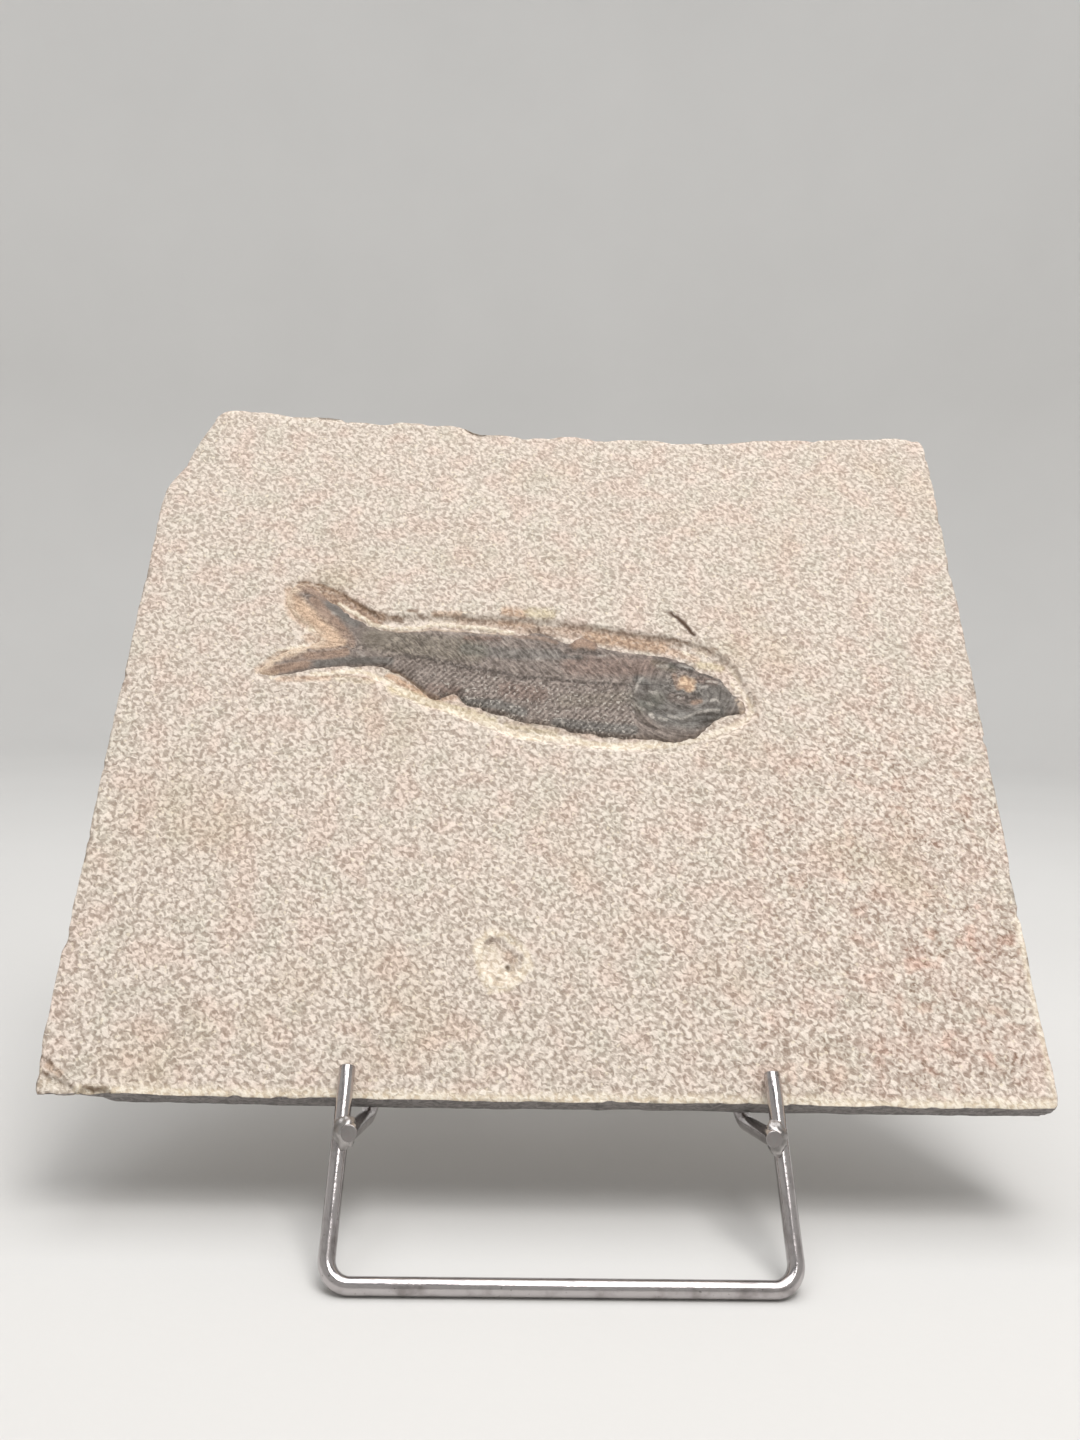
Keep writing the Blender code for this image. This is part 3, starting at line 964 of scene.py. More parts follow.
    def front_relief(self, rest: Places, flat: Places) -> Values:
        """How far each place of the front stands off the plane.

        Args:
            rest: The block's places.
            flat: The places fitted to the outline.

        Returns:
            The heights, in millimetres.
        """
        plane = flat[:, :2]
        height = waves(plane, self.face_waves) - self.hollow
        depth = outline_depth(plane, TRENCH) + waves(plane, self.rim_waves)
        height += ramp(depth, -1.3, 0.5) * (waves(plane, self.tool_waves) - trench_floor(flat[:, 0]))
        height += stroked(on_face(np.column_stack((plane, height))), RIDGES)

        offset = (plane - np.array(self.pit)) * np.array([1.0, 0.9])
        reach = np.linalg.norm(offset, axis=1) + 0.7 * ripple(plane, 2.4, 9.1)
        height -= self.pit_depth * smooth(1.15 - reach / self.pit_radius)
        height += self.pit_lip * smooth(1.0 - np.abs(reach - self.pit_radius - 0.7))
        height -= stroked(plane, PIT_HOLES)

        corner = ramp(flat[:, 0], -91.0, -95.0) * (flat[:, 1] < 9.0)
        for start, end, drop in FLAKE_STEPS:
            run = np.array(end) - np.array(start)
            side = (plane - np.array(start)) @ np.array([run[1], -run[0]]) / np.linalg.norm(run)
            height -= drop * ramp(side, -0.1, 0.25) * corner
        height -= stroked(plane, EDGE_CHIPS)
        return height - self.rounding * 0.5 * (self.border(rest) < TOUCH)

    def border(self, rest: Places) -> Values:
        """How far each place of the block lies from its nearest edge."""
        side = self.half_width - np.abs(rest[:, 0])
        return np.minimum(side, np.minimum(rest[:, 1], self.height - rest[:, 1]))

    def roughen_sides(self, rest: Places, flat: Places) -> None:
        """Rounds and breaks the edges and sides, and splits the back, in place.

        Args:
            rest: The block's places.
            flat: The fitted places, which are changed.
        """
        x, up, out = rest.T
        on_rim = self.border(rest) < TOUCH
        top, bottom = up > self.height - TOUCH, up < TOUCH
        rough = waves(rest * np.array([1.0, 1.0, 7.0]), self.side_waves) * np.where(top, 1.7, 1.0)
        chip = np.maximum(ripple(rest[:, :2], 3.4, 7.7) - self.chip_above, 0.0) * self.chip_depth
        near_front, near_back = np.exp(out / 0.8), np.exp(-(out + self.thickness) / 0.8)
        inset = self.rounding * (near_front + near_back) + chip * (near_front + 0.6 * near_back)
        pull = (inset - rough) * on_rim
        flat[:, 0] -= pull * np.sign(x) * (self.half_width - np.abs(x) < TOUCH)
        flat[:, 1] += pull * np.where(top, -1.0, 1.0) * (top | bottom)
        flat[:, 2] -= chip * 0.35 * on_rim * near_front
        broken_off = ramp(x, -88.0, -97.0) * ramp(up, 8.0, 0.0)
        flat[:, 1] += (out < FRONT) * np.abs(out) * 0.3 * broken_off
        split = waves(rest[:, :2], self.back_waves) + self.back_rise
        flat[:, 2] += (out < TOUCH - self.thickness) * split


# Marks on the stone, as they show on the flat face.
WHITE_LINE = traced(
    -53.4, 116.2, -51, 114.5, -49, 113.5, -47.2, 112.3, -45.4, 110.9, -43.2, 110.2, -40, 109.5, -37, 109.8,
    -34, 109.8, -32, 110.3, -30, 111, -27, 111, -24, 110.8, -20, 110.5, -16, 110.2, -13, 109.6,
    -10.6, 109.4,
)
LOWER_RIM_TAIL = traced(
    -58, 96.2, -54.6, 96.4, -52, 97, -49.6, 97.3, -47, 97.3, -45, 96.8, -43, 95.9, -41, 95.1, -39, 94.3,
)
LOWER_RIM = traced(
    -39, 94, -36, 91.9, -33, 90.7, -30, 89.6, -27, 88.6, -24, 87.2, -20, 85.6, -17, 84.7, -14, 83.6,
    -12, 82.6,
)
FRONT_RIM = traced(
    -12, 82.6, -10, 81.7, -7, 81.1, -3, 80.9, 0, 80.8, 4, 80.4, 8, 79.6, 12, 79.3, 16, 79.3, 20, 79.4,
    24, 79.7, 28, 80.2, 31, 80.9, 34, 81.9, 37, 83.1, 40, 84.5, 43, 85.8, 45.4, 87.4, 46.6, 89.2, 46.5, 91,
    45.3, 93.6, 43.8, 95.8,
)
RIDGES = (
    Stroke(WHITE_LINE, 0.8, 0.26),
    Stroke(LOWER_RIM, 0.8, 0.10),
)
PIT_HOLES = (
    mark(0.75, 0.7, -10.2, 26.9, -10, 26.5),
    mark(1.1, 0.35, -14.6, 32.2, -13.4, 32.6),
    mark(0.6, 0.3, -12.2, 24.5, -12, 24.3),
)
# Where each flake's step starts and ends, and how far it drops.
FLAKE_STEPS = (((-102.5, 8.2), (-95.3, 1.8), 0.32), ((-102.2, 4.5), (-96.2, 2.2), 0.38))
EDGE_CHIPS = (
    mark(1.7, 0.9, -92.6, 0.4, -88.6, 0.2),
    mark(1.8, 0.5, -64, 177, -60, 177),
    mark(1.6, 0.5, -24, 173.6, -20.5, 172.4),
    mark(1.4, 0.6, 101.6, 96, 101.6, 98),
    mark(1.5, 0.6, 101.6, 44, 101.8, 45),
)
# Stains, with painted highlight and shade round the trench and the pit.
STONE_STAINS_AND_PAINTED_LIGHT: dict[str, Sequence[Stroke]] = {
    "stain_tan": (
        mark(2, 0.75, -12.6, 115.6, -8.4, 115),
        mark(1.3, 0.55, -30, 114.2, -24, 114.5),
        mark(2.4, 0.8, 8, 108.8, 14, 108.2, 20, 107.2, 26, 106.4),
        mark(1.6, 0.5, 28, 105.4, 34, 103.2),
        mark(1.4, 0.85, -40, 96, -36, 94.2, -33, 92.2, -30.6, 90.7, -28, 89.4),
        mark(1, 0.6, -26.6, 90.4, -24, 90.8),
        mark(1.1, 0.5, -66, 94.6, -54, 95.2),
        mark(2, 0.5, -60, 106.2, -57, 104.8),
        mark(1.7, 0.5, -66.4, 119.6, -65.2, 113.6, -61.2, 110, -57, 107),
        mark(1.5, 0.45, -71, 97, -67, 100.8, -61, 103.4),
        mark(1.2, 0.5, -13.6, 112.2, -6, 111.6),
        mark(1.1, 0.5, -100.6, 5.6, -98, 4.2),
        mark(1.3, 0.35, -10, 29.6, -9.2, 28.4),
    ),
    "stain_umber": (
        mark(2.1, 0.9, -63, 120.8, -58, 119.7, -54, 118.1, -50, 115.7, -46, 113.2, -43, 112.6),
        mark(1.1, 0.55, -44, 112.6, -38, 112),
        mark(1.7, 0.9, -57, 118, -53, 115.9, -50.6, 114.3, -48.4, 112.9, -46, 111.9, -43.6, 111.6),
        mark(0.7, 0.55, -60, 95, -54, 95.8, -50.4, 96.1, -47, 95.8, -43, 94.5),
        mark(1.7, 0.65, -24, 112.2, -14, 111.8, -8, 110.8, 0, 110.4, 8, 110.4),
        mark(1.8, 0.55, 8, 107.6, 16, 107, 24, 105.8),
        mark(1.3, 0.55, -9, 110, -3, 109.8, 4, 109),
        mark(1.3, 0.6, 2, 111.2, 10, 110.6, 16, 109.6, 24, 108.4, 30, 107.6),
        mark(1.3, 0.5, 34, 106, 38, 105.4),
        mark(0.9, 0.5, -11, 84.6, -4, 83.4, 2, 82.4, 8, 81.4),
        mark(1, 0.25, 46.8, 96, 48.4, 91, 47.6, 87),
    ),
    "stain_straw": (
        mark(1.7, 0.75, -39, 92.8, -34, 91, -30, 89.4, -25, 88.2, -20, 86.6, -15, 84.8),
        mark(1.1, 0.55, -12, 84, -6, 82.8, 0, 82.2),
        mark(2.2, 0.7, -6.4, 115.4, -1.6, 115.2),
        mark(1.6, 0.65, 35, 101.8, 40, 101),
        mark(1.2, 0.3, -52, 95.2, -44, 94.6),
    ),
    "pale_stain_and_painted_highlight": (
        # Along the line above the fish and the trench's lower rims: pale matrix with painted highlight where
        # these edges face the light.
        Stroke(WHITE_LINE[:5], 0.7, 0.95),
        Stroke(WHITE_LINE[4:], 0.75, 0.95),
        mark(1, 0.35, -31, 111.8, -24, 111.8),
        Stroke(LOWER_RIM_TAIL, 0.9, 1.0),
        Stroke(LOWER_RIM, 1.0, 0.72, 1.4),
        Stroke(FRONT_RIM[:11], 1.25, 0.95),
        Stroke(FRONT_RIM[10:], 1.2, 0.62, 0.85),
        mark(0.7, 0.6, 42, 101, 43.6, 98.8, 44, 97.2),
        mark(0.8, 0.7, 42.4, 97.4, 42.6, 96.2),
        mark(0.6, 0.9, 31, 105.3, 32.4, 104.6),
        mark(0.7, 0.6, 34.6, 105.2, 36.4, 105.2),
        mark(0.8, 0.9, 24.6, 81.5, 26.4, 81.2),
        mark(0.9, 0.8, -60.6, 108.6, -58.4, 108.6),
        mark(0.7, 0.85, -66.6, 102.7, -63, 103.5, -60.6, 104.1),
        mark(1.2, 0.85, -15.6, 33, -13.6, 34.4, -10.8, 33.9, -8.4, 32, -6.2, 30.2, -5.8, 28),
        mark(1.6, 0.8, -5.8, 28, -7.4, 25, -9.4, 23.2, -12.9, 22.6, -14.9, 24.8, -16, 28, -16.4, 32),
        mark(3.4, 0.62, -13.6, 29.6, -12.6, 25.8, -9.6, 25.2),
        mark(1.6, 0.35, -101, 2.4, -96, 1),
        mark(1.7, 1, -94, 0.9, -60, 0.7, -20, 0.5, 20, 0.7, 62, 0.5, 101, 0.8),
        mark(1.1, 0.7, 101.4, 2, 101.2, 40),
        mark(0.6, 0.25, -90, 176.6, -40, 174.6),
        mark(0.5, 0.3, -29, 156, -20, 151, -12, 145),
    ),
    "brown_stain_and_painted_shade": (
        # Along the trench's top edge: a thin brown line with painted shade where the wall faces down.
        mark(0.6, 0.9, -64.4, 122.2, -62, 122.3, -60, 122, -58, 121.3),
        mark(0.7, 0.85, -58, 121.3, -55.4, 120.3, -53, 119.2, -51, 117.8, -49.6, 116.6, -46.8, 114.9),
        mark(0.6, 0.8, -46.8, 114.9, -44.6, 114.1, -42, 113.5, -40, 112.9, -37.4, 112.9),
        mark(0.6, 0.75, -36.6, 114.7, -34.2, 114.9),
        mark(0.55, 0.55, -34, 113.9, -32, 113.1, -30, 113.5, -28, 114, -26.8, 113.3, -24, 113.4),
        mark(0.5, 0.4, -24, 113.4, -22, 113, -18, 112.8, -13, 113.3),
        mark(0.6, 0.25, -13, 113.2, -8, 113, -2, 113, 2, 112.4),
        mark(0.6, 0.5, 2, 112.4, 4, 112.1, 9.8, 111.8),
        mark(0.6, 0.5, 9.8, 111.6, 14, 110.6, 18, 110, 24, 109.4, 29, 108.8),
        mark(0.65, 0.8, 29, 108.8, 32.6, 107.9, 36, 106.8, 39.4, 106.1),
        mark(0.45, 0.25, 40, 105.6, 42.6, 103.4),
        mark(0.5, 0.5, -67, 102, -62, 102.7),
        mark(1.2, 0.35, -61, 119.6, -57.6, 118.2),
        mark(0.45, 0.85, -102.5, 7.8, -98.6, 5, -95.4, 1.9),
        mark(0.5, 0.9, -102, 4.5, -98.4, 3.4, -96.4, 2.2),
        mark(0.7, 0.8, -92.6, 1.6, -90.6, 1.2, -88.6, 1.6),
        mark(1.1, 0.4, -14.6, 32.2, -12.6, 32.8),
        # Painted shade outside the pit's upper rim.
        mark(0.5, 0.5, -11.6, 35.2, -7.8, 32.6, -6, 30.8),
    ),
    "stain_bone": (
        mark(0.7, 1, 28.3, 116.8, 30.6, 114.6, 34, 110.6, taper=1.3),
        mark(0.9, 1, 30.4, 114.9, 33.2, 111.7),
        mark(0.5, 0.8, -6.8, 110.1, -5.9, 109.2, -5, 108.3),
        mark(0.5, 0.8, -4.4, 111.2, -4.2, 109.8, -3.2, 109.2, -1, 108.3),
        mark(0.75, 0.62, -10.2, 26.9, -10, 26.5),
        mark(0.9, 0.32, -14.4, 32.3, -13.6, 32.6),
        mark(0.5, 0.4, -12.2, 24.5, -12, 24.3),
    ),
}


# ---------------------------------------------------------------------------------------------
# The fossil
# ---------------------------------------------------------------------------------------------


def sunk_outline() -> Places:
    """The fish's outline where it meets the trench's floor, a little ragged.

    Returns:
        The outline's points, in the slab's plane.
    """
    line = np.array(rounded(FISH_OUTLINE, 6))
    line = line + strayed(line, 0.3, 1.5, (61.5, 67.5)) + strayed(line, 0.18, 0.7, (71.5, 77.5))
    return under_face(line, -trench_floor(line[:, 0]))


def above_spine(places: Places) -> Values:
    """How far above the spine each place lies, negative below it."""
    return places[:, 1] - np.interp(places[:, 0], *np.array(SPINE).T)


def vertebrae(places: Places) -> Values:
    """From 0 to 1 where a slanting bone of the back lies."""
    return smooth(0.5 + 0.8 * np.sin((places[:, 0] - 0.9 * above_spine(places)) * 2.0 * math.pi / 1.62))


def combed(places: Places, slant: float, pitch: float) -> Values:
    """A wave from -1 to 1 across fine lines that slant by an angle, in degrees."""
    angle = math.radians(slant)
    return np.sin((places[:, 1] * math.cos(angle) - places[:, 0] * math.sin(angle)) * 2.0 * math.pi / pitch)


@dataclass
class FossilFish:
    """The fish: a thin low-domed layer of bone and scales that rises from the trench's floor."""

    plane: SlabPlane
    cell: float = 0.29
    outline: Line | Places = field(default_factory=sunk_outline)
    body_rise: float = 0.98
    tail_rise: float = 0.36
    dome: float = 0.20  # how much higher its middle stands than its shoulder
    shoulder: float = 0.55
    buried: float = 0.16  # how far its edge lies below the trench's floor
    skirt: float = 1.75  # how deep its hidden sides go
    rib_height: float = 0.045
    muscle_height: float = 0.035
    bone_height: float = 0.10
    ray_height: float = 0.055
    ray_rate: float = 150.0
    ray_centre: tuple[float, float] = (-40.0, 103.6)
    rim_waves: tuple[Wave, ...] = ((0.22, 1.2, 14.2), (0.12, 0.6, 15.2))
    head_waves: tuple[Wave, ...] = ((0.13, 2.2, 3.7), (0.07, 0.9, 5.7))
    skin_waves: tuple[Wave, ...] = ((0.05, 0.75, 9.7), (0.05, 1.7, 19.7))

    def build(self) -> bpy.types.Object:
        """Models the fish flat, lays it on its plane and dresses it.

        Returns:
            The fish.
        """
        piece = self.cut_out()
        places = places_of(piece)
        places[:, 2] = np.where(places[:, 2] > FRONT, self.relief(places), -self.skirt)
        for name, values in self.masks(places).items():
            add_mask(piece, name, values)
        self.plane.lay(piece, places)
        finish_piece(piece, BoneFinish("fossil_bone_scales", self.plane), Slot.BONE, "fossil_fish")
        return piece

    def cut_out(self) -> bpy.types.Object:
        """Cuts the fish's shape out of a fine grid and gives it sides and an underside.

        Returns:
            The fish, its top at height 0.
        """
        corners = np.array(self.outline)
        low, high = corners.min(axis=0) - 1.0, corners.max(axis=0) + 1.0
        counts = [int(round(side / self.cell)) for side in high - low]
        piece = add_sheet("fossil_fish_bones", counts, low, high)
        kept = within(rows_of(piece.data.polygons, "center"), self.outline)
        edit(piece)
        pick(Pick.FACES, lambda face: not kept[face.index])
        bpy.ops.mesh.delete(type="FACE")
        while pick(Pick.VERTICES, lambda vertex: sum(edge.is_boundary for edge in vertex.link_edges) > 2):
            bpy.ops.mesh.delete(type="VERT")
        leave_edit()
        self.snap_rim(piece)
        edit(piece)
        draw_out((0.0, 0.0, -1.0))
        bpy.ops.mesh.edge_face_add()
        leave_edit()
        return piece

    def snap_rim(self, piece: bpy.types.Object) -> None:
        """Brings the stepped rim of the cut grid onto the smooth outline."""
        shape = bmesh.new()
        shape.from_mesh(piece.data)
        corners = np.array(self.outline)
        runs = np.roll(corners, -1, axis=0) - corners
        lengths = np.linalg.norm(runs, axis=1)
        for vertex in [vertex for vertex in shape.verts if vertex.is_boundary]:
            place = np.array(vertex.co[:2])
            share = np.clip(((place - corners) * runs).sum(axis=1) / lengths**2, 0.0, 1.0)
            nearest = corners + share[:, None] * runs
            best = nearest[np.linalg.norm(nearest - place, axis=1).argmin()]
            vertex.co.x, vertex.co.y = float(best[0]), float(best[1])
        shape.to_mesh(piece.data)
        shape.free()

    def relief(self, places: Places) -> Values:
        """How far each place of the fish stands off the slab's plane.

        Args:
            places: Where they are in the plane.

        Returns:
            The heights, in millimetres.
        """
        plane = places[:, :2]
        x, up = plane.T
        depth = outline_depth(plane, self.outline) - np.abs(waves(plane, self.rim_waves))
        depth = np.maximum(depth, 0.0)
        tail = ramp(x, -40.0, -54.0)
        rise = self.body_rise + (self.tail_rise - self.body_rise) * tail
        swell = 1.0 - np.exp(-depth / self.shoulder)
        height = -trench_floor(x) - self.buried + (rise + self.buried) * swell
        height += self.dome * ramp(depth, 0.0, 9.0) * (1.0 - tail)

        from_spine, _ = along_line(plane, SPINE)
        body = ramp(x, 19.0, 16.0) * ramp(x, -46.0, -38.0) * swell
        lower = ramp(above_spine(plane), 0.0, -1.5)
        height += body * lower * self.rib_height * combed(plane, 46.0, 1.04)
        height += body * (1.0 - lower) * self.muscle_height * combed(plane, -50.0, 1.45)
        height += body * self.bone_height * vertebrae(plane) * ramp(from_spine, 1.1, 0.0)

        ray = np.arctan2(up - self.ray_centre[1], self.ray_centre[0] - x)
        height += tail * swell * self.ray_height * np.sin(ray * self.ray_rate)
        height += ramp(x, 18.6, 20.2) * swell * waves(plane, self.head_waves)
        height += waves(plane, self.skin_waves) * swell
        for stroke in BONE_RELIEF:
            height += stroke.over(plane)
        return height

    def masks(self, places: Places) -> dict[str, Values]:
        """Where the bone is dark, tinted, worn or flecked.

        Args:
            places: The fish's places in the plane, with their relief.

        Returns:
            The values of each mask, by its name.
        """
        plane, seen = places[:, :2], on_face(places)
        loose = seen + strayed(plane, 0.25, 1.4, (22.5, 27.5))
        x, above = loose[:, 0], above_spine(loose)
        from_spine, _ = along_line(loose, SPINE)
        bones = smooth(1.3 - from_spine / 0.95) * vertebrae(seen) * ramp(x, 0.0, -6.0)
        spine = np.maximum(bones, smooth(1.25 - from_spine / 0.6) * 0.95)
        spine *= ramp(x, -41.0, -35.0) * ramp(x, 19.0, 17.0)
        patch = 0.5 + 0.5 * ripple(plane, 3.0, 31.0)
        depth = outline_depth(plane, self.outline)
        rim = ramp(depth, 1.0, 0.2) * ramp(x, -56.0, -46.0) * smooth(2.6 * patch - 1.0)
        body = ramp(x, 19.5, 17.5) * ramp(x, -45.0, -37.0)
        facing = np.where(x > 0.0, 1.0, -1.0)
        away = seen - np.where((x > 0.0)[:, None], EYE, TAIL_ROOT)
        return {name: stroked(loose, strokes) for name, strokes in BONE_MARKS.items()} | {
            "ink": np.maximum.reduce([stroked(loose, INK), spine, 0.6 * rim]),
            "belly": body * ramp(above, 0.5, -2.5),
            "back": body * ramp(above, -1.0, 2.0),
            "head": ramp(x, 18.4, 19.4),
            "fleck": body * (0.2 + 0.8 * ramp(above, 2.0, -4.0)) * ramp(x, -40.0, -20.0),
            "reach": np.linalg.norm(away, axis=1) / 40.0,
            "swing": np.arctan2(away[:, 1], facing * away[:, 0]) / (2.0 * math.pi) + 0.5,
        }


# The fish's shape and marks, as they show on the flat face.
EYE = (31.0, 96.0)
TAIL_ROOT = (-42.0, 104.0)
FISH_OUTLINE = traced(
    -70.6, 96, -68, 95.4, -65.5, 95.6, -62, 96.3, -58, 97.2, -54, 97.9, -50, 98.3, -46.6, 98.6, -43.5, 98.6,
    -41, 98.1, -39.4, 97.5, -38, 96.9, -36.2, 95.6, -34.4, 94.2, -32.8, 92.9, -31.4, 91.7, -29.8, 90.6,
    -28.3, 90.1, -27.2, 90.4, -26.2, 91.1, -25, 91.6, -23.9, 91.7, -23.2, 91, -22.6, 90.1, -21.6, 89.3,
    -20.2, 88.6, -18.6, 88.2, -17.2, 87.6, -15.4, 86.8, -13.4, 86.4, -11.8, 86.2, -10.4, 85.6, -9, 85,
    -6.5, 84.5, -3, 84.2, 0.4, 83.8, 2, 83.2, 3.8, 82.5, 6, 82.2, 8.8, 82, 10.4, 81.3, 13, 81.3, 15.6, 81.1,
    18.4, 81, 20.6, 81.1, 24, 80.9, 26, 80.7, 28, 80.8, 30.4, 81.2, 32.2, 81.9, 33.8, 82.8, 35.2, 84,
    36.2, 85, 37.4, 85.9, 38.6, 86.8, 40, 87.6, 41.2, 88.1, 44, 88.3, 44.9, 89, 45.2, 90.5, 44.7, 92,
    43.4, 93, 42.2, 94.2, 41.4, 95.2, 40.4, 96.6, 39.8, 97.7, 38, 98.6, 36.2, 99.3, 34.2, 100, 33.3, 101.1,
    31.4, 102.2, 28.8, 103.2, 26, 103.9, 23.4, 104, 20.6, 104.5, 17, 104.8, 13.4, 105.3, 11.2, 105.9,
    10.2, 106.2, 9.6, 107.2, 8.2, 108.2, 6, 108.5, 4.6, 108, 3.6, 107, 2.4, 106.8, 0.6, 107.8, -1.4, 108.5,
    -3.6, 109.3, -5.4, 109.4, -7.4, 108.8, -9.6, 108.7, -12.2, 109, -15, 109.3, -18.2, 109.2, -22, 109.5,
    -26, 109.8, -30, 109.8, -34, 109.4, -38, 109, -41, 108.9, -43.2, 109.3, -45.2, 110, -47.4, 111.2,
    -49.6, 112.4, -51.6, 114, -53.6, 115.6, -56, 117.4, -58.6, 119.4, -61, 121, -63.6, 121.8, -65.4, 121,
    -66.4, 118.8, -66.6, 116, -65.2, 113.4, -63.2, 111.2, -61, 109.6, -59.2, 108.4, -58, 107, -57.6, 105.6,
    -59.4, 104.4, -61.6, 103.8, -64, 103, -66, 101.8, -67.8, 100.2, -69.8, 98.4, -71.2, 97,
)
SPINE = traced(
    -46, 102.6, -38, 102, -34, 101.7, -31, 101.6, -29, 100.9, -26, 100.4, -23, 99.6, -20, 98.9, -17, 98.6,
    -13, 97.9, -9, 97, -3, 96.9, 2, 96.5, 6, 96, 10, 95.9, 18.5, 95.9,
)
GILL_EDGE = traced(
    19.6, 98.6, 18.8, 96.6, 18.2, 93.6, 18.4, 90.4, 19.2, 87.8, 20.4, 86, 22, 84.6, 23.6, 83.6,
)
BONE_RELIEF = (
    Stroke(GILL_EDGE, 0.7, -0.34),
    mark(1.2, 0.16, 20.2, 98, 19.6, 94, 20, 89.6, 21.6, 86.4),
    mark(2.9, 0.1, 31.2, 96.2, 31.4, 96.1),
    mark(2.3, -0.42, 31.2, 96.2, 31.4, 96.1),
    mark(1.7, 0.42, 31.2, 96.2, 31.4, 96.1),
    mark(0.5, -0.22, 34.6, 86, 37.4, 86.9, 40, 87.8),
    mark(0.5, -0.2, 33.4, 88.1, 36, 88.2, 39.4, 88.1),
    mark(0.8, 0.16, 24.2, 87.2, 28, 86.8, 31, 87.6, 35, 89.1, 38.6, 89.4),
    mark(0.8, 0.15, 23.8, 103, 27, 102.5, 30, 101.6, 33, 100.4),
    mark(0.4, -0.15, 36.4, 98.7, 39.2, 97.6),
    mark(0.8, 0.12, 22.4, 94.8, 23.4, 91.6, 23, 88.8),
    mark(0.6, -0.14, 25.4, 94, 27, 91, 31, 89.6),
    mark(0.8, -0.16, 2.6, 104.4, 5, 104.6, 9.4, 104.8),
    mark(1.8, 0.1, 4.8, 106.8, 6.4, 107.2, 8.2, 106.8),
    mark(0.5, -0.1, -27.4, 91.2, -22, 93, -18, 95),
)
INK = (
    mark(0.6, 0.9, 18, 90.4, 18.6, 88.2, 19.4, 86.7, 20.6, 85.6, 22.2, 84.6, 23.4, 84.1),
    mark(1.3, 0.8, 19.1, 93.5, 20.3, 92.7, 21.7, 92.1),
    mark(0.8, 0.85, 20.7, 94.9, 21.7, 94.8),
    mark(1.5, 0.55, 21.2, 95.8, 22.2, 94.4),
    mark(0.6, 0.55, 22.5, 95.4, 23.8, 94.8),
    mark(0.75, 0.85, 23.7, 103.6, 25.8, 103.4, 27.8, 102.9, 28.8, 101.9, 29.7, 101),
    mark(0.6, 0.95, 29.7, 101, 31, 100.3, 33, 99.7, 34.9, 99.4, 36.6, 98.8, 39.7, 97.6),
    mark(0.55, 0.7, 29, 102.8, 31, 102.3, 33, 101.3, 33.4, 100.6),
    mark(0.7, 0.45, 26.2, 102.2, 27.8, 101.8),
    mark(0.9, 0.7, 26.2, 99.4, 27.3, 99.4),
    mark(0.5, 0.35, 28.6, 99.6, 31, 99.4),
    mark(0.7, 0.85, 31.4, 94, 32.6, 93.8, 33.6, 93.6),
    mark(0.6, 0.55, 27.3, 96, 27.9, 95.2),
    mark(0.5, 0.5, 28, 94.4, 28.6, 94),
    mark(0.95, 0.6, 38.2, 96.1, 39.6, 95.4, 40.8, 94.2, 41.2, 93, 40.8, 92),
    mark(0.85, 0.75, 35.3, 90.2, 37, 91, 38, 90.6),
    mark(0.8, 0.7, 40.8, 90.6, 41.3, 90.1),
    mark(0.55, 0.8, 33.4, 88.1, 35.6, 88.3, 37.8, 88.3, 39.6, 88.2),
    mark(0.65, 0.9, 34.5, 85.9, 36, 86.3, 37.2, 86.7),
    mark(0.55, 0.7, 40.4, 88.5, 44.2, 88.6),
    mark(0.8, 0.7, 24.8, 88.5, 26.2, 89, 27.2, 88.7, 28.4, 88.5),
    mark(0.65, 0.55, 30.8, 88.9, 33.2, 89.1),
    mark(0.65, 0.7, 30, 86.2, 31.5, 86.5),
    mark(0.6, 0.6, 25, 85.6, 27.2, 85.1),
    mark(0.65, 0.6, 28, 83.6, 31, 83.3, 33.6, 83.3),
    mark(0.6, 0.5, 43.4, 92.3, 44.5, 91.8),
    mark(0.5, 0.4, 21, 89.4, 21.6, 87.6),
    mark(0.5, 0.4, 26, 93.6, 27, 92.6, 27.6, 91.4),
    mark(0.95, 0.95, 2.6, 104.3, 4.4, 104.9, 6, 104.4, 7.4, 104.3, 9.4, 104.6),
    mark(1.25, 0.8, 3, 104.9, 6.4, 104.8, 10.4, 104.4),
    mark(0.7, 0.6, 11.2, 105.6, 12.6, 105),
    mark(0.5, 0.45, 14, 104.4, 15.6, 103.4),
    mark(0.6, 0.6, -6.2, 109.4, -5, 108.2, -4, 107),
    mark(0.6, 0.7, -3.6, 109.2, -1, 108, 1, 107, 3.6, 106.2),
    mark(0.6, 0.75, -15.8, 107.6, -14.6, 107.1),
    mark(0.5, 0.5, -15.4, 108.8, -14.6, 108.5),
    mark(0.55, 0.6, -27.8, 90.6, -26.2, 91.5, -24, 92.2, -20, 93.9),
    mark(0.8, 0.8, -18.4, 88.1, -16, 87.4, -14, 87, -12.6, 86.8),
    mark(0.5, 0.5, -9, 85, -5, 84.6),
    mark(0.8, 0.7, 2.4, 83.6, 4, 83, 6.4, 82.8),
    mark(0.7, 0.7, 9.6, 81.9, 12, 81.8, 15.8, 81.6),
    mark(0.6, 0.6, -8.2, 96.8, -7.8, 96.2),
    mark(1.1, 0.35, -55.6, 115.6, -52, 113.4, -49, 111.4, -46.4, 109.8),
    mark(0.6, 0.4, -49.4, 107.2, -48.4, 107.6),
    mark(0.7, 0.35, -62, 96.9, -58, 97.8, -54, 98.6),
    mark(1.4, 0.35, -56, 98.9, -52, 99.6, -46, 100.2),
    mark(0.5, 0.4, -45.6, 104.8, -43.6, 104.8),
)
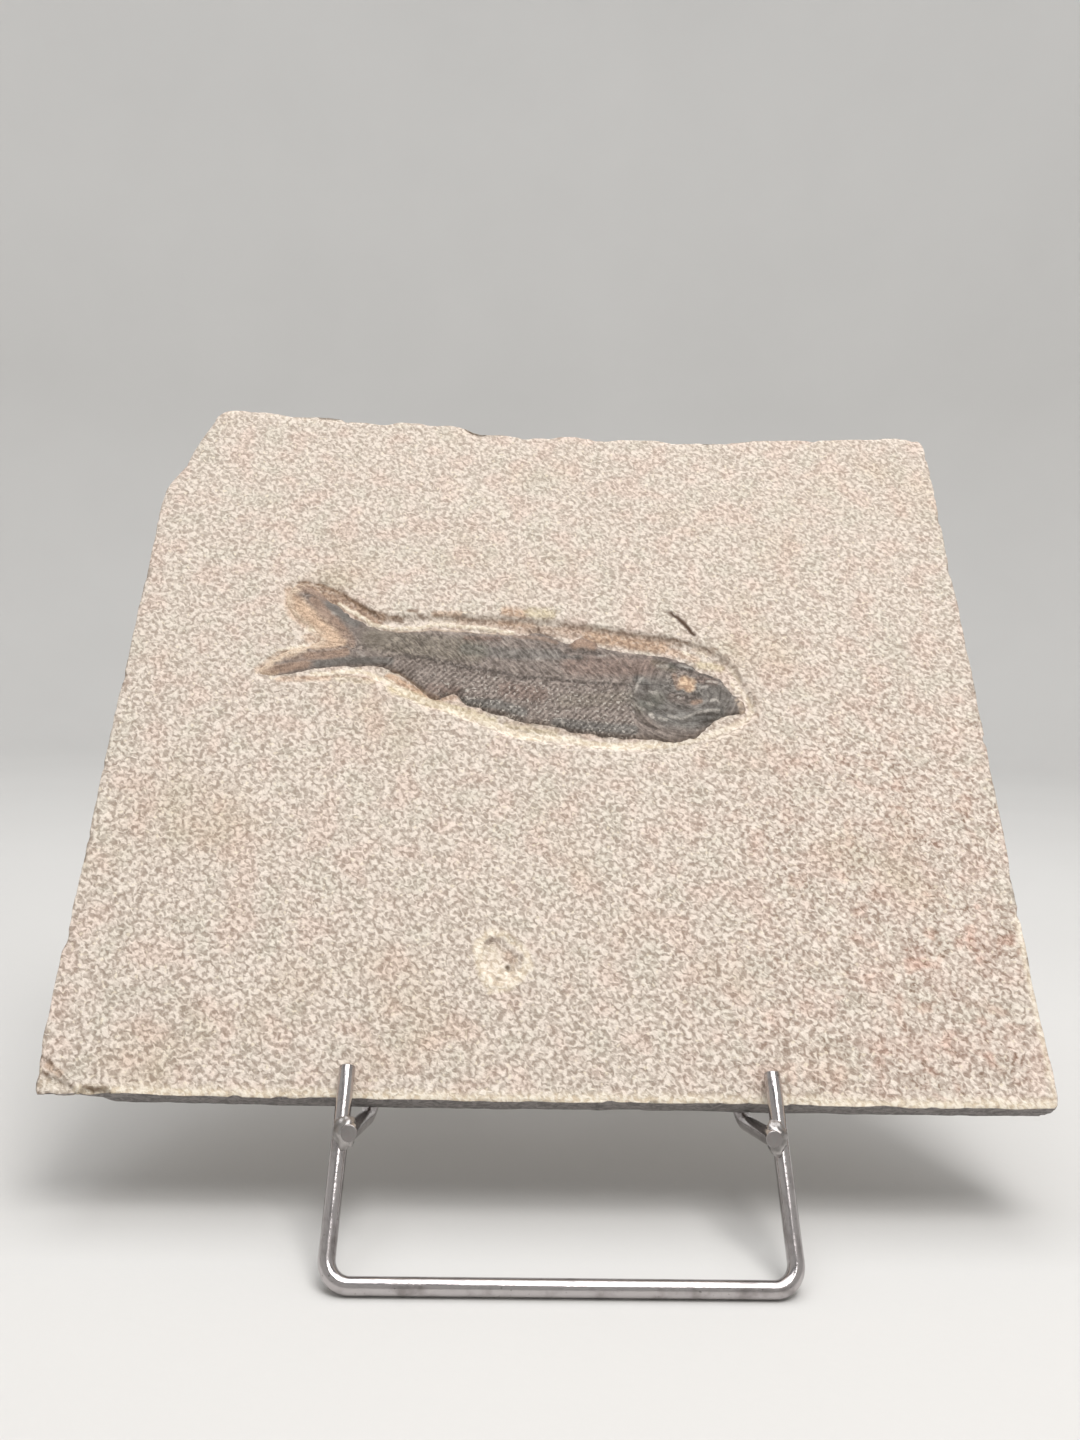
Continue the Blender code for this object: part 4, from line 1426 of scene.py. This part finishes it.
BONE_MARKS: dict[str, Sequence[Stroke]] = {
    "moss": (
        mark(5, 0.8, -44, 106.6, -30, 104.6, -20, 104.2),
        mark(2.6, 0.5, 2, 91, 12, 91.6, 17, 92.4),
        mark(1.8, 0.8, 24, 102, 28, 100.6),
        mark(3, 0.6, 20, 90, 24, 92),
    ),
    "slate": (
        mark(8, 0.85, 23, 93, 38, 92.4),
        mark(2.4, 0.7, -22, 104.4, -10, 103.4, 0, 103.6),
        mark(2, 0.9, -22, 89.8, -14, 89.4, -8, 87.6),
        mark(2, 0.9, 0, 85, 8, 84.2, 18, 83.6),
        mark(2.2, 1, 20, 97.4, 21.6, 96),
        mark(4.4, 1, 22, 91, 26, 87.6, 32, 87, 38, 89),
        mark(1.9, 0.8, 41, 95, 41.6, 91),
        mark(1.4, 0.8, 28, 101.6, 33, 100.8),
        mark(1.8, 0.8, -56, 115.4, -49, 110.8),
        mark(1.6, 0.8, -57, 99, -50, 100.2, -40, 100.4),
        mark(1, 0.9, 2, 103, 6, 102.8),
    ),
    "rose": (
        mark(4, 0.7, 4, 100.6, 12, 100.6, 22, 101),
        mark(1, 0.8, -22, 107.5, -14, 107.5),
        mark(3, 0.6, -12, 93.6, -4, 92.4),
        mark(1.8, 0.5, -30, 93.4, -24, 93),
        mark(2.2, 0.6, 28, 92.6, 33, 91.8),
        mark(1.5, 0.8, 34.6, 97.6, 38, 97.2),
    ),
    "umber": (
        mark(1.9, 0.75, -64.4, 120.8, -60, 120, -57, 118.4),
        mark(1.9, 0.75, -60, 117.6, -57.2, 114, -54, 110.8, -51.6, 108),
        mark(1.6, 0.6, -50.6, 107.4, -49.6, 104.8),
        mark(1.8, 0.85, -70.4, 96.8, -65, 97.6, -60, 98.8),
        mark(1.5, 0.5, -66, 100.6, -60, 101.2),
        mark(1.7, 0.8, -60, 101.2, -54, 101.8, -51, 102.6),
        mark(2, 0.95, 4.6, 106.4, 6.4, 107.2, 8.8, 106.4),
        mark(1.4, 0.7, -39, 97, -35, 94.4, -31.4, 91.8, -28.6, 90.4),
        mark(0.9, 0.45, -10, 108.4, -4, 108.2, 0, 107),
        mark(1, 0.6, 28.6, 98.6, 29.4, 95.4),
        mark(0.9, 0.7, 32.6, 91.4, 34.6, 91.8),
    ),
    "amber": (
        mark(3.7, 1, -65.2, 116.4, -61.4, 113, -58, 109.8, -54, 106.4, taper=0.8),
        mark(1.9, 0.85, -58.6, 104.4, -54, 104.6, -52, 105.4),
        mark(0.9, 0.5, -69.4, 96, -66.6, 96.2),
        mark(0.9, 0.6, -66, 102.4, -62, 103),
    ),
    "calm": (
        mark(5, 0.7, -58, 117, -44, 107),
        mark(4, 0.6, -68, 97, -44, 101),
    ),
    "light": (
        mark(0.5, 0.55, 20.7, 97.8, 19.8, 96.4, 19.2, 95, 18.8, 93.8),
        mark(0.5, 0.5, 22.3, 94, 23.8, 93.6),
        mark(0.58, 0.45, 22.2, 91, 23.1, 90.4),
        mark(0.5, 0.4, 18.8, 90.6, 19.6, 89.7, 20.8, 89),
        mark(0.65, 0.9, 22.2, 87.9, 22.9, 87.1),
        mark(0.5, 0.75, 24.4, 86.9, 26, 86.5),
        mark(0.5, 0.45, 26.6, 87.6, 29, 86.8, 31, 87.4, 33, 88.5, 34.6, 88.9),
        mark(0.58, 0.55, 34.6, 88.9, 36.6, 89.4, 38.6, 89.3),
        mark(0.58, 0.5, 34.4, 95.6, 36.2, 95.9),
        mark(0.5, 0.65, 36.4, 97.2, 38.6, 97.2),
        mark(0.5, 0.9, 37.2, 92.1, 37.9, 92.4),
        mark(0.36, 0.6, 38.5, 92.6, 38.8, 91.6),
        mark(0.43, 0.7, 29.3, 92.8, 29.8, 92.5),
        mark(0.72, 0.4, 24.4, 101.2, 27, 101.1),
        mark(0.43, 0.3, 29.6, 101.6, 31.8, 101),
        mark(0.58, 0.45, 10.2, 103.6, 11.8, 103.6),
        mark(0.5, 0.7, 1.2, 85.1, 1.6, 84.9),
        mark(0.43, 0.6, 13.4, 81.4, 13.9, 81.2),
        mark(0.43, 0.6, -4.8, 102.2, -4.3, 102.2),
        mark(0.5, 0.7, -21.4, 92.8, -21, 93.2),
        mark(0.58, 0.35, -54.9, 113.6, -54.3, 113.2),
        mark(0.58, 0.3, -47.6, 102.6, -46.4, 101.6),
    ),
    "eye": (
        mark(2, 1, 30.9, 97.2, 32, 95.6),
        mark(1.6, 0.8, 30.4, 96.2, 32.6, 97),
    ),
    "fade": (
        mark(3, 1, -64, 122.6, -67, 118.6, -65.8, 113.2, -61.4, 109.4, -58.2, 107, taper=0.7),
        mark(2.7, 1, -58.2, 107, -57.8, 105.4, -61.8, 103.6, -66.6, 101.4, -71.4, 97.2),
        mark(1.2, 0.8, -71.4, 96.4, -68, 95.2),
        mark(1.3, 0.6, 43.6, 92, 44.8, 90.2, 44.4, 88.8),
        mark(0.7, 0.7, -38, 96.6, -34.4, 94, -31, 91.4),
        mark(1, 0.7, -39, 109.2, -30, 110, -22, 109.8, -12, 109.2),
    ),
}


# ---------------------------------------------------------------------------------------------
# The stand
# ---------------------------------------------------------------------------------------------


@dataclass(frozen=True)
class BentWire:
    """A length of round wire with flat cut ends, bent at each inner corner of its route."""

    name: str
    corners: tuple[Vector, ...]
    radius: float = 1.6 * MM
    bend_radius: float = 4.5 * MM
    sides: int = 36
    bend_steps: int = 14
    stretch: float = 6.0 * MM  # about how long the mesh's steps are along a straight run
    cut_bevel: float = 0.22 * MM

    @property
    def end_reach(self) -> float:
        """How near an end of the route the places of its cut lie."""
        return 1.2 * self.radius

    def build(self) -> bpy.types.Object:
        """Draws the wire's circle along its route, bending it round each corner.

        Returns:
            The wire, without its finish.
        """
        start, ahead = self.corners[0], (self.corners[1] - self.corners[0]).normalized()
        select()
        bpy.ops.mesh.primitive_circle_add(
            vertices=self.sides,
            radius=self.radius,
            fill_type="NOTHING",
            location=start,
            rotation=ahead.to_track_quat("Z", "Y").to_euler(),
        )
        piece = bpy.context.object
        piece.name = self.name
        set_down(piece)
        edit(piece)
        pick(Pick.EDGES, lambda edge: True)
        reached = start
        for corner, after in zip(self.corners[1:], self.corners[2:]):
            leaving = (after - corner).normalized()
            turn = ahead.angle(leaving)
            cut_off = self.bend_radius * math.tan(turn / 2.0)
            bend_start = corner - ahead * cut_off
            self.run_on(bend_start - reached)
            axis = ahead.cross(leaving).normalized()
            centre = bend_start + axis.cross(ahead) * self.bend_radius
            bpy.ops.mesh.spin(steps=self.bend_steps, angle=-turn, center=centre, axis=axis)
            reached = corner + leaving * cut_off
            ahead = leaving
        self.run_on(self.corners[-1] - reached)
        self.cap_ends()
        add_mask(piece, "cut_end", self.cut_ends(places_of(piece)))
        return piece

    def run_on(self, run: Vector) -> None:
        """Extrudes the selected ring along a straight run, in steps."""
        steps = max(1, round(run.length / self.stretch))
        for _ in range(steps):
            draw_out(run / steps, rim=False)

    def cap_ends(self) -> None:
        """Closes both cut ends and breaks their sharp edges a little."""
        for end in (self.corners[0], self.corners[-1]):
            pick(
                Pick.EDGES,
                lambda edge: edge.is_boundary and all((v.co - end).length < self.end_reach for v in edge.verts),
            )
            bpy.ops.mesh.edge_face_add()
            bpy.ops.mesh.bevel(offset=self.cut_bevel, segments=3, affect="EDGES")
        bpy.ops.mesh.select_all(action="SELECT")
        bpy.ops.mesh.remove_doubles(threshold=1e-6)
        bpy.ops.mesh.normals_make_consistent(inside=False)
        leave_edit()
        bpy.ops.object.shade_smooth_by_angle(angle=math.radians(40.0))

    def cut_ends(self, places: Places) -> Values:
        """From 0 to 1, whether each place lies on a cut end."""
        cut = np.zeros(len(places))
        for end, inner in ((self.corners[0], self.corners[1]), (self.corners[-1], self.corners[-2])):
            away = places - np.array(end)
            inside = away @ np.array((inner - end).normalized())
            near = np.linalg.norm(away, axis=1) < self.end_reach
            cut = np.maximum(cut, near * (inside < 0.5 * self.cut_bevel))
        return cut


@dataclass(frozen=True)
class WeldBead:
    """A small lump of weld where two wires cross."""

    name: str
    centre: Vector
    along: Vector  # the direction it is drawn out in
    length: float = 3.2 * MM
    width: float = 2.15 * MM
    flatness: float = 0.86
    seed: float = 0.0

    def build(self) -> bpy.types.Object:
        """Models the lump from a ball that is drawn out and made uneven.

        Returns:
            The bead, without its finish.
        """
        select()
        bpy.ops.mesh.primitive_uv_sphere_add(segments=32, ring_count=20, radius=self.width)
        piece = bpy.context.object
        piece.name = self.name
        edit(piece, whole=True)
        bpy.ops.transform.resize(value=(1.0, self.flatness, self.length / self.width))
        leave_edit()
        places = places_of(piece)
        lumps = 1.0 + waves(places / MM, ((0.20, 1.4, self.seed), (0.08, 0.6, self.seed + 4.0)))
        move_to(piece, places * lumps[:, None])
        turn = self.along.to_track_quat("Z", "Y").to_matrix().to_4x4()
        set_down(piece, Matrix.Translation(self.centre) @ turn)
        piece.data.shade_smooth()
        return piece


@dataclass
class WireStand:
    """The easel: a front wire that is foot and lip, a ledge and backrest wire, and a rear leg wire."""

    plane: SlabPlane
    radius: float = 1.6
    gap: float = 0.3
    slab_thickness: float = 10.0
    middle: float = 1.0
    front_half_width: float = 42.4
    lip_height: float = 6.1
    ledge_start: Spot = (40.3, -7.1, 8.0)
    ledge_bend: Spot = (39.1, -1.1, -13.3)
    backrest_half_width: float = 22.0
    backrest_height: float = 97.0
    rear_top: Spot = (28.7, 78.0, -12.6)
    rear_half_width: float = 34.0
    bead_shift: Spot = (0.0, -1.7, 0.4)  # brings the front beads round the arms' cut ends
    crossing_steps: int = 400  # how finely a run is searched for where another passes it

    def place(self, x: float, up: float, out: float) -> Vector:
        """The world place of a point in the slab's plane, its X from the stand's middle."""
        return self.plane.point(self.middle + x, up, out)

    def route(self, *half: Vector) -> tuple[Vector, ...]:
        """The right half of a wire's route, with its mirror image about the stand's middle before it."""
        centre = self.middle * MM
        left = [Vector((2.0 * centre - place.x, place.y, place.z)) for place in half]
        return (*left, *reversed(half))

    def foot(self, node: str, half_width: float, front: bool) -> Vector:
        """The corner of a foot bar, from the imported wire's own box."""
        low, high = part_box(node)
        depth = low.y + self.radius * MM if front else high.y - self.radius * MM
        return Vector(((self.middle + half_width) * MM, depth, low.z + self.radius * MM))

    def routes(self) -> dict[str, tuple[Vector, ...]]:
        """Each wire's route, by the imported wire's name."""
        behind = -self.slab_thickness - self.gap - self.radius
        tip = self.place(self.front_half_width, self.lip_height, self.radius + self.gap)
        backrest = self.place(self.backrest_half_width, self.backrest_height, behind)
        front_foot = self.foot("front_wire", self.front_half_width, True)
        rear_foot = self.foot("rear_leg_wire", self.rear_half_width, False)
        return {
            "front_wire": self.route(tip, front_foot),
            "back_wire": self.route(self.place(*self.ledge_start), self.place(*self.ledge_bend), backrest),
            "rear_leg_wire": self.route(self.place(*self.rear_top), rear_foot),
        }

    def build(self) -> None:
        """Models and dresses the three wires and their four welds."""
        finish = PlatedFinish("nickel_plating")
        weld = PlatedFinish(
            "weld_plating", tone(176, 172, 170), tone(104, 100, 97), least_rough=0.22, most_rough=0.46
        )
        routes = self.routes()
        for node, corners in routes.items():
            piece = BentWire(node + "_plated", corners).build()
            finish_piece(piece, finish, Slot.PLATED, node)
        front, back, rear = routes["front_wire"], routes["back_wire"], routes["rear_leg_wire"]
        crossings = {
            "weld_front_left": (front[0], front[1], back[0], back[1]),
            "weld_front_right": (front[-1], front[-2], back[-1], back[-2]),
            "weld_rear_left": (rear[0], rear[1], back[1], back[2]),
            "weld_rear_right": (rear[-1], rear[-2], back[-2], back[-3]),
        }
        for number, (name, runs) in enumerate(crossings.items()):
            centre = self.crossing(*runs)
            if name.startswith("weld_front"):
                centre = centre + Vector(self.bead_shift) * MM
            bead = WeldBead(name, centre, (runs[1] - runs[0]).normalized(), seed=3.0 * number).build()
            finish_piece(bead, weld, Slot.PLATED)

    def crossing(self, start: Vector, end: Vector, other_start: Vector, other_end: Vector) -> Vector:
        """The point midway between two runs of wire where they pass closest."""
        run = other_end - other_start
        pairs = []
        for step in range(self.crossing_steps + 1):
            place = start.lerp(end, step / self.crossing_steps)
            share = min(max((place - other_start).dot(run) / run.length_squared, 0.0), 1.0)
            pairs.append((place, other_start + run * share))
        place, other = min(pairs, key=lambda pair: (pair[0] - pair[1]).length)
        return (place + other) / 2.0


# ---------------------------------------------------------------------------------------------
# Studio
# ---------------------------------------------------------------------------------------------


@dataclass(frozen=True)
class Softbox:
    """A square area light that points at a place."""

    name: str
    place: Spot
    aim: Spot
    size: float
    power: float
    colour: Colour = (1.0, 1.0, 1.0)

    def hang(self) -> None:
        """Adds the light to the scene."""
        lamp = bpy.data.lights.new(self.name, "AREA")
        lamp.shape = "SQUARE"
        lamp.size = self.size
        lamp.energy = self.power
        lamp.color = self.colour
        light = bpy.data.objects.new(self.name, lamp)
        bpy.context.scene.collection.objects.link(light)
        light.location = self.place
        light.rotation_euler = (Vector(self.aim) - Vector(self.place)).to_track_quat("-Z", "Y").to_euler()


@dataclass
class Studio:
    """The pale floor that sweeps up all round, the soft light and the camera."""

    floor_radius: float = 1.2
    inset_share: float = 0.6  # how far the floor's one inner ring lies in from its rim
    sweep_radius: float = 0.6
    sweep_steps: int = 16
    wall_height: float = 2.4
    camera_place: Spot = (-0.0123, -0.2466, 0.1112)
    yaw: float = 1.92
    pitch: float = 2.6
    roll: float = -1.63
    lens: float = 27.0
    sky: Colour = tone(226, 227, 230)
    sky_strength: float = 0.35
    softboxes: tuple[Softbox, ...] = (
        Softbox("key_softbox", (0.2, -0.42, 1.02), (0.0, 0.0, 0.09), 0.5, 6.6, (1.0, 0.98, 0.965)),
        Softbox("overhead_softbox", (0.0, 0.1, 2.2), (0.0, 0.0, 0.0), 2.0, 31.0),
    )

    def build(self) -> None:
        """Sets up the floor, the sky, the lights and the camera."""
        self.lay_floor()
        self.paint_sky()
        bpy.context.scene.view_settings.view_transform = "Standard"
        for softbox in self.softboxes:
            softbox.hang()
        self.place_camera()

    def paint_sky(self) -> None:
        """Gives the world a soft even light."""
        world = bpy.data.worlds.new("pale_studio")
        world.use_nodes = True
        background = world.node_tree.nodes["Background"]
        background.inputs["Color"].default_value = (*self.sky, 1.0)
        background.inputs["Strength"].default_value = self.sky_strength
        bpy.context.scene.world = world

    def lay_floor(self) -> None:
        """Lays a round floor under the feet whose rim sweeps up into a wall all round."""
        select()
        bpy.ops.mesh.primitive_circle_add(vertices=96, radius=self.floor_radius, fill_type="NGON")
        floor = bpy.context.object
        floor.name = "studio_floor"
        edit(floor, whole=True)
        bpy.ops.mesh.inset(thickness=self.floor_radius * self.inset_share)
        angles = [math.pi / 2.0 * step / self.sweep_steps for step in range(1, self.sweep_steps + 1)]
        radii = [self.floor_radius + self.sweep_radius * math.sin(angle) for angle in angles]
        heights = [self.sweep_radius * (1.0 - math.cos(angle)) for angle in angles]
        radius, height = self.floor_radius, 0.0
        for wider, higher in zip((*radii, radii[-1]), (*heights, self.wall_height)):
            draw_out((0.0, 0.0, higher - height))
            bpy.ops.transform.resize(value=(wider / radius, wider / radius, 1.0))
            radius, height = wider, higher
        leave_edit()
        floor.data.shade_smooth()
        floor.data.materials.append(FloorFinish("pale_floor").material())
        select()

    def place_camera(self) -> None:
        """Stands the camera at its place and makes it the scene's camera."""
        yaw, pitch, roll = (math.radians(angle) for angle in (self.yaw, self.pitch, self.roll))
        ahead = Vector((math.sin(yaw) * math.cos(pitch), math.cos(yaw) * math.cos(pitch), -math.sin(pitch)))
        level = Vector((math.cos(yaw), -math.sin(yaw), 0.0))
        down = ahead.cross(level)
        right = level * math.cos(roll) + down * math.sin(roll)
        down = down * math.cos(roll) - level * math.sin(roll)
        data = bpy.data.cameras.new("camera")
        data.lens = self.lens
        data.sensor_width = 36.0
        data.sensor_fit = "AUTO"
        data.clip_start = 0.01
        camera = bpy.data.objects.new("camera", data)
        bpy.context.scene.collection.objects.link(camera)
        turn = Matrix((right, -down, -ahead)).transposed().to_4x4()
        camera.matrix_world = Matrix.Translation(self.camera_place) @ turn
        bpy.context.scene.camera = camera


def main() -> None:
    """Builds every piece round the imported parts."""
    logging.basicConfig(level=logging.INFO, format="%(message)s")
    plane = SlabPlane.of_packed_slab()
    LimestoneSlab(plane).build()
    FossilFish(plane).build()
    WireStand(plane).build()
    Studio().build()


if __name__ == "__main__":
    main()
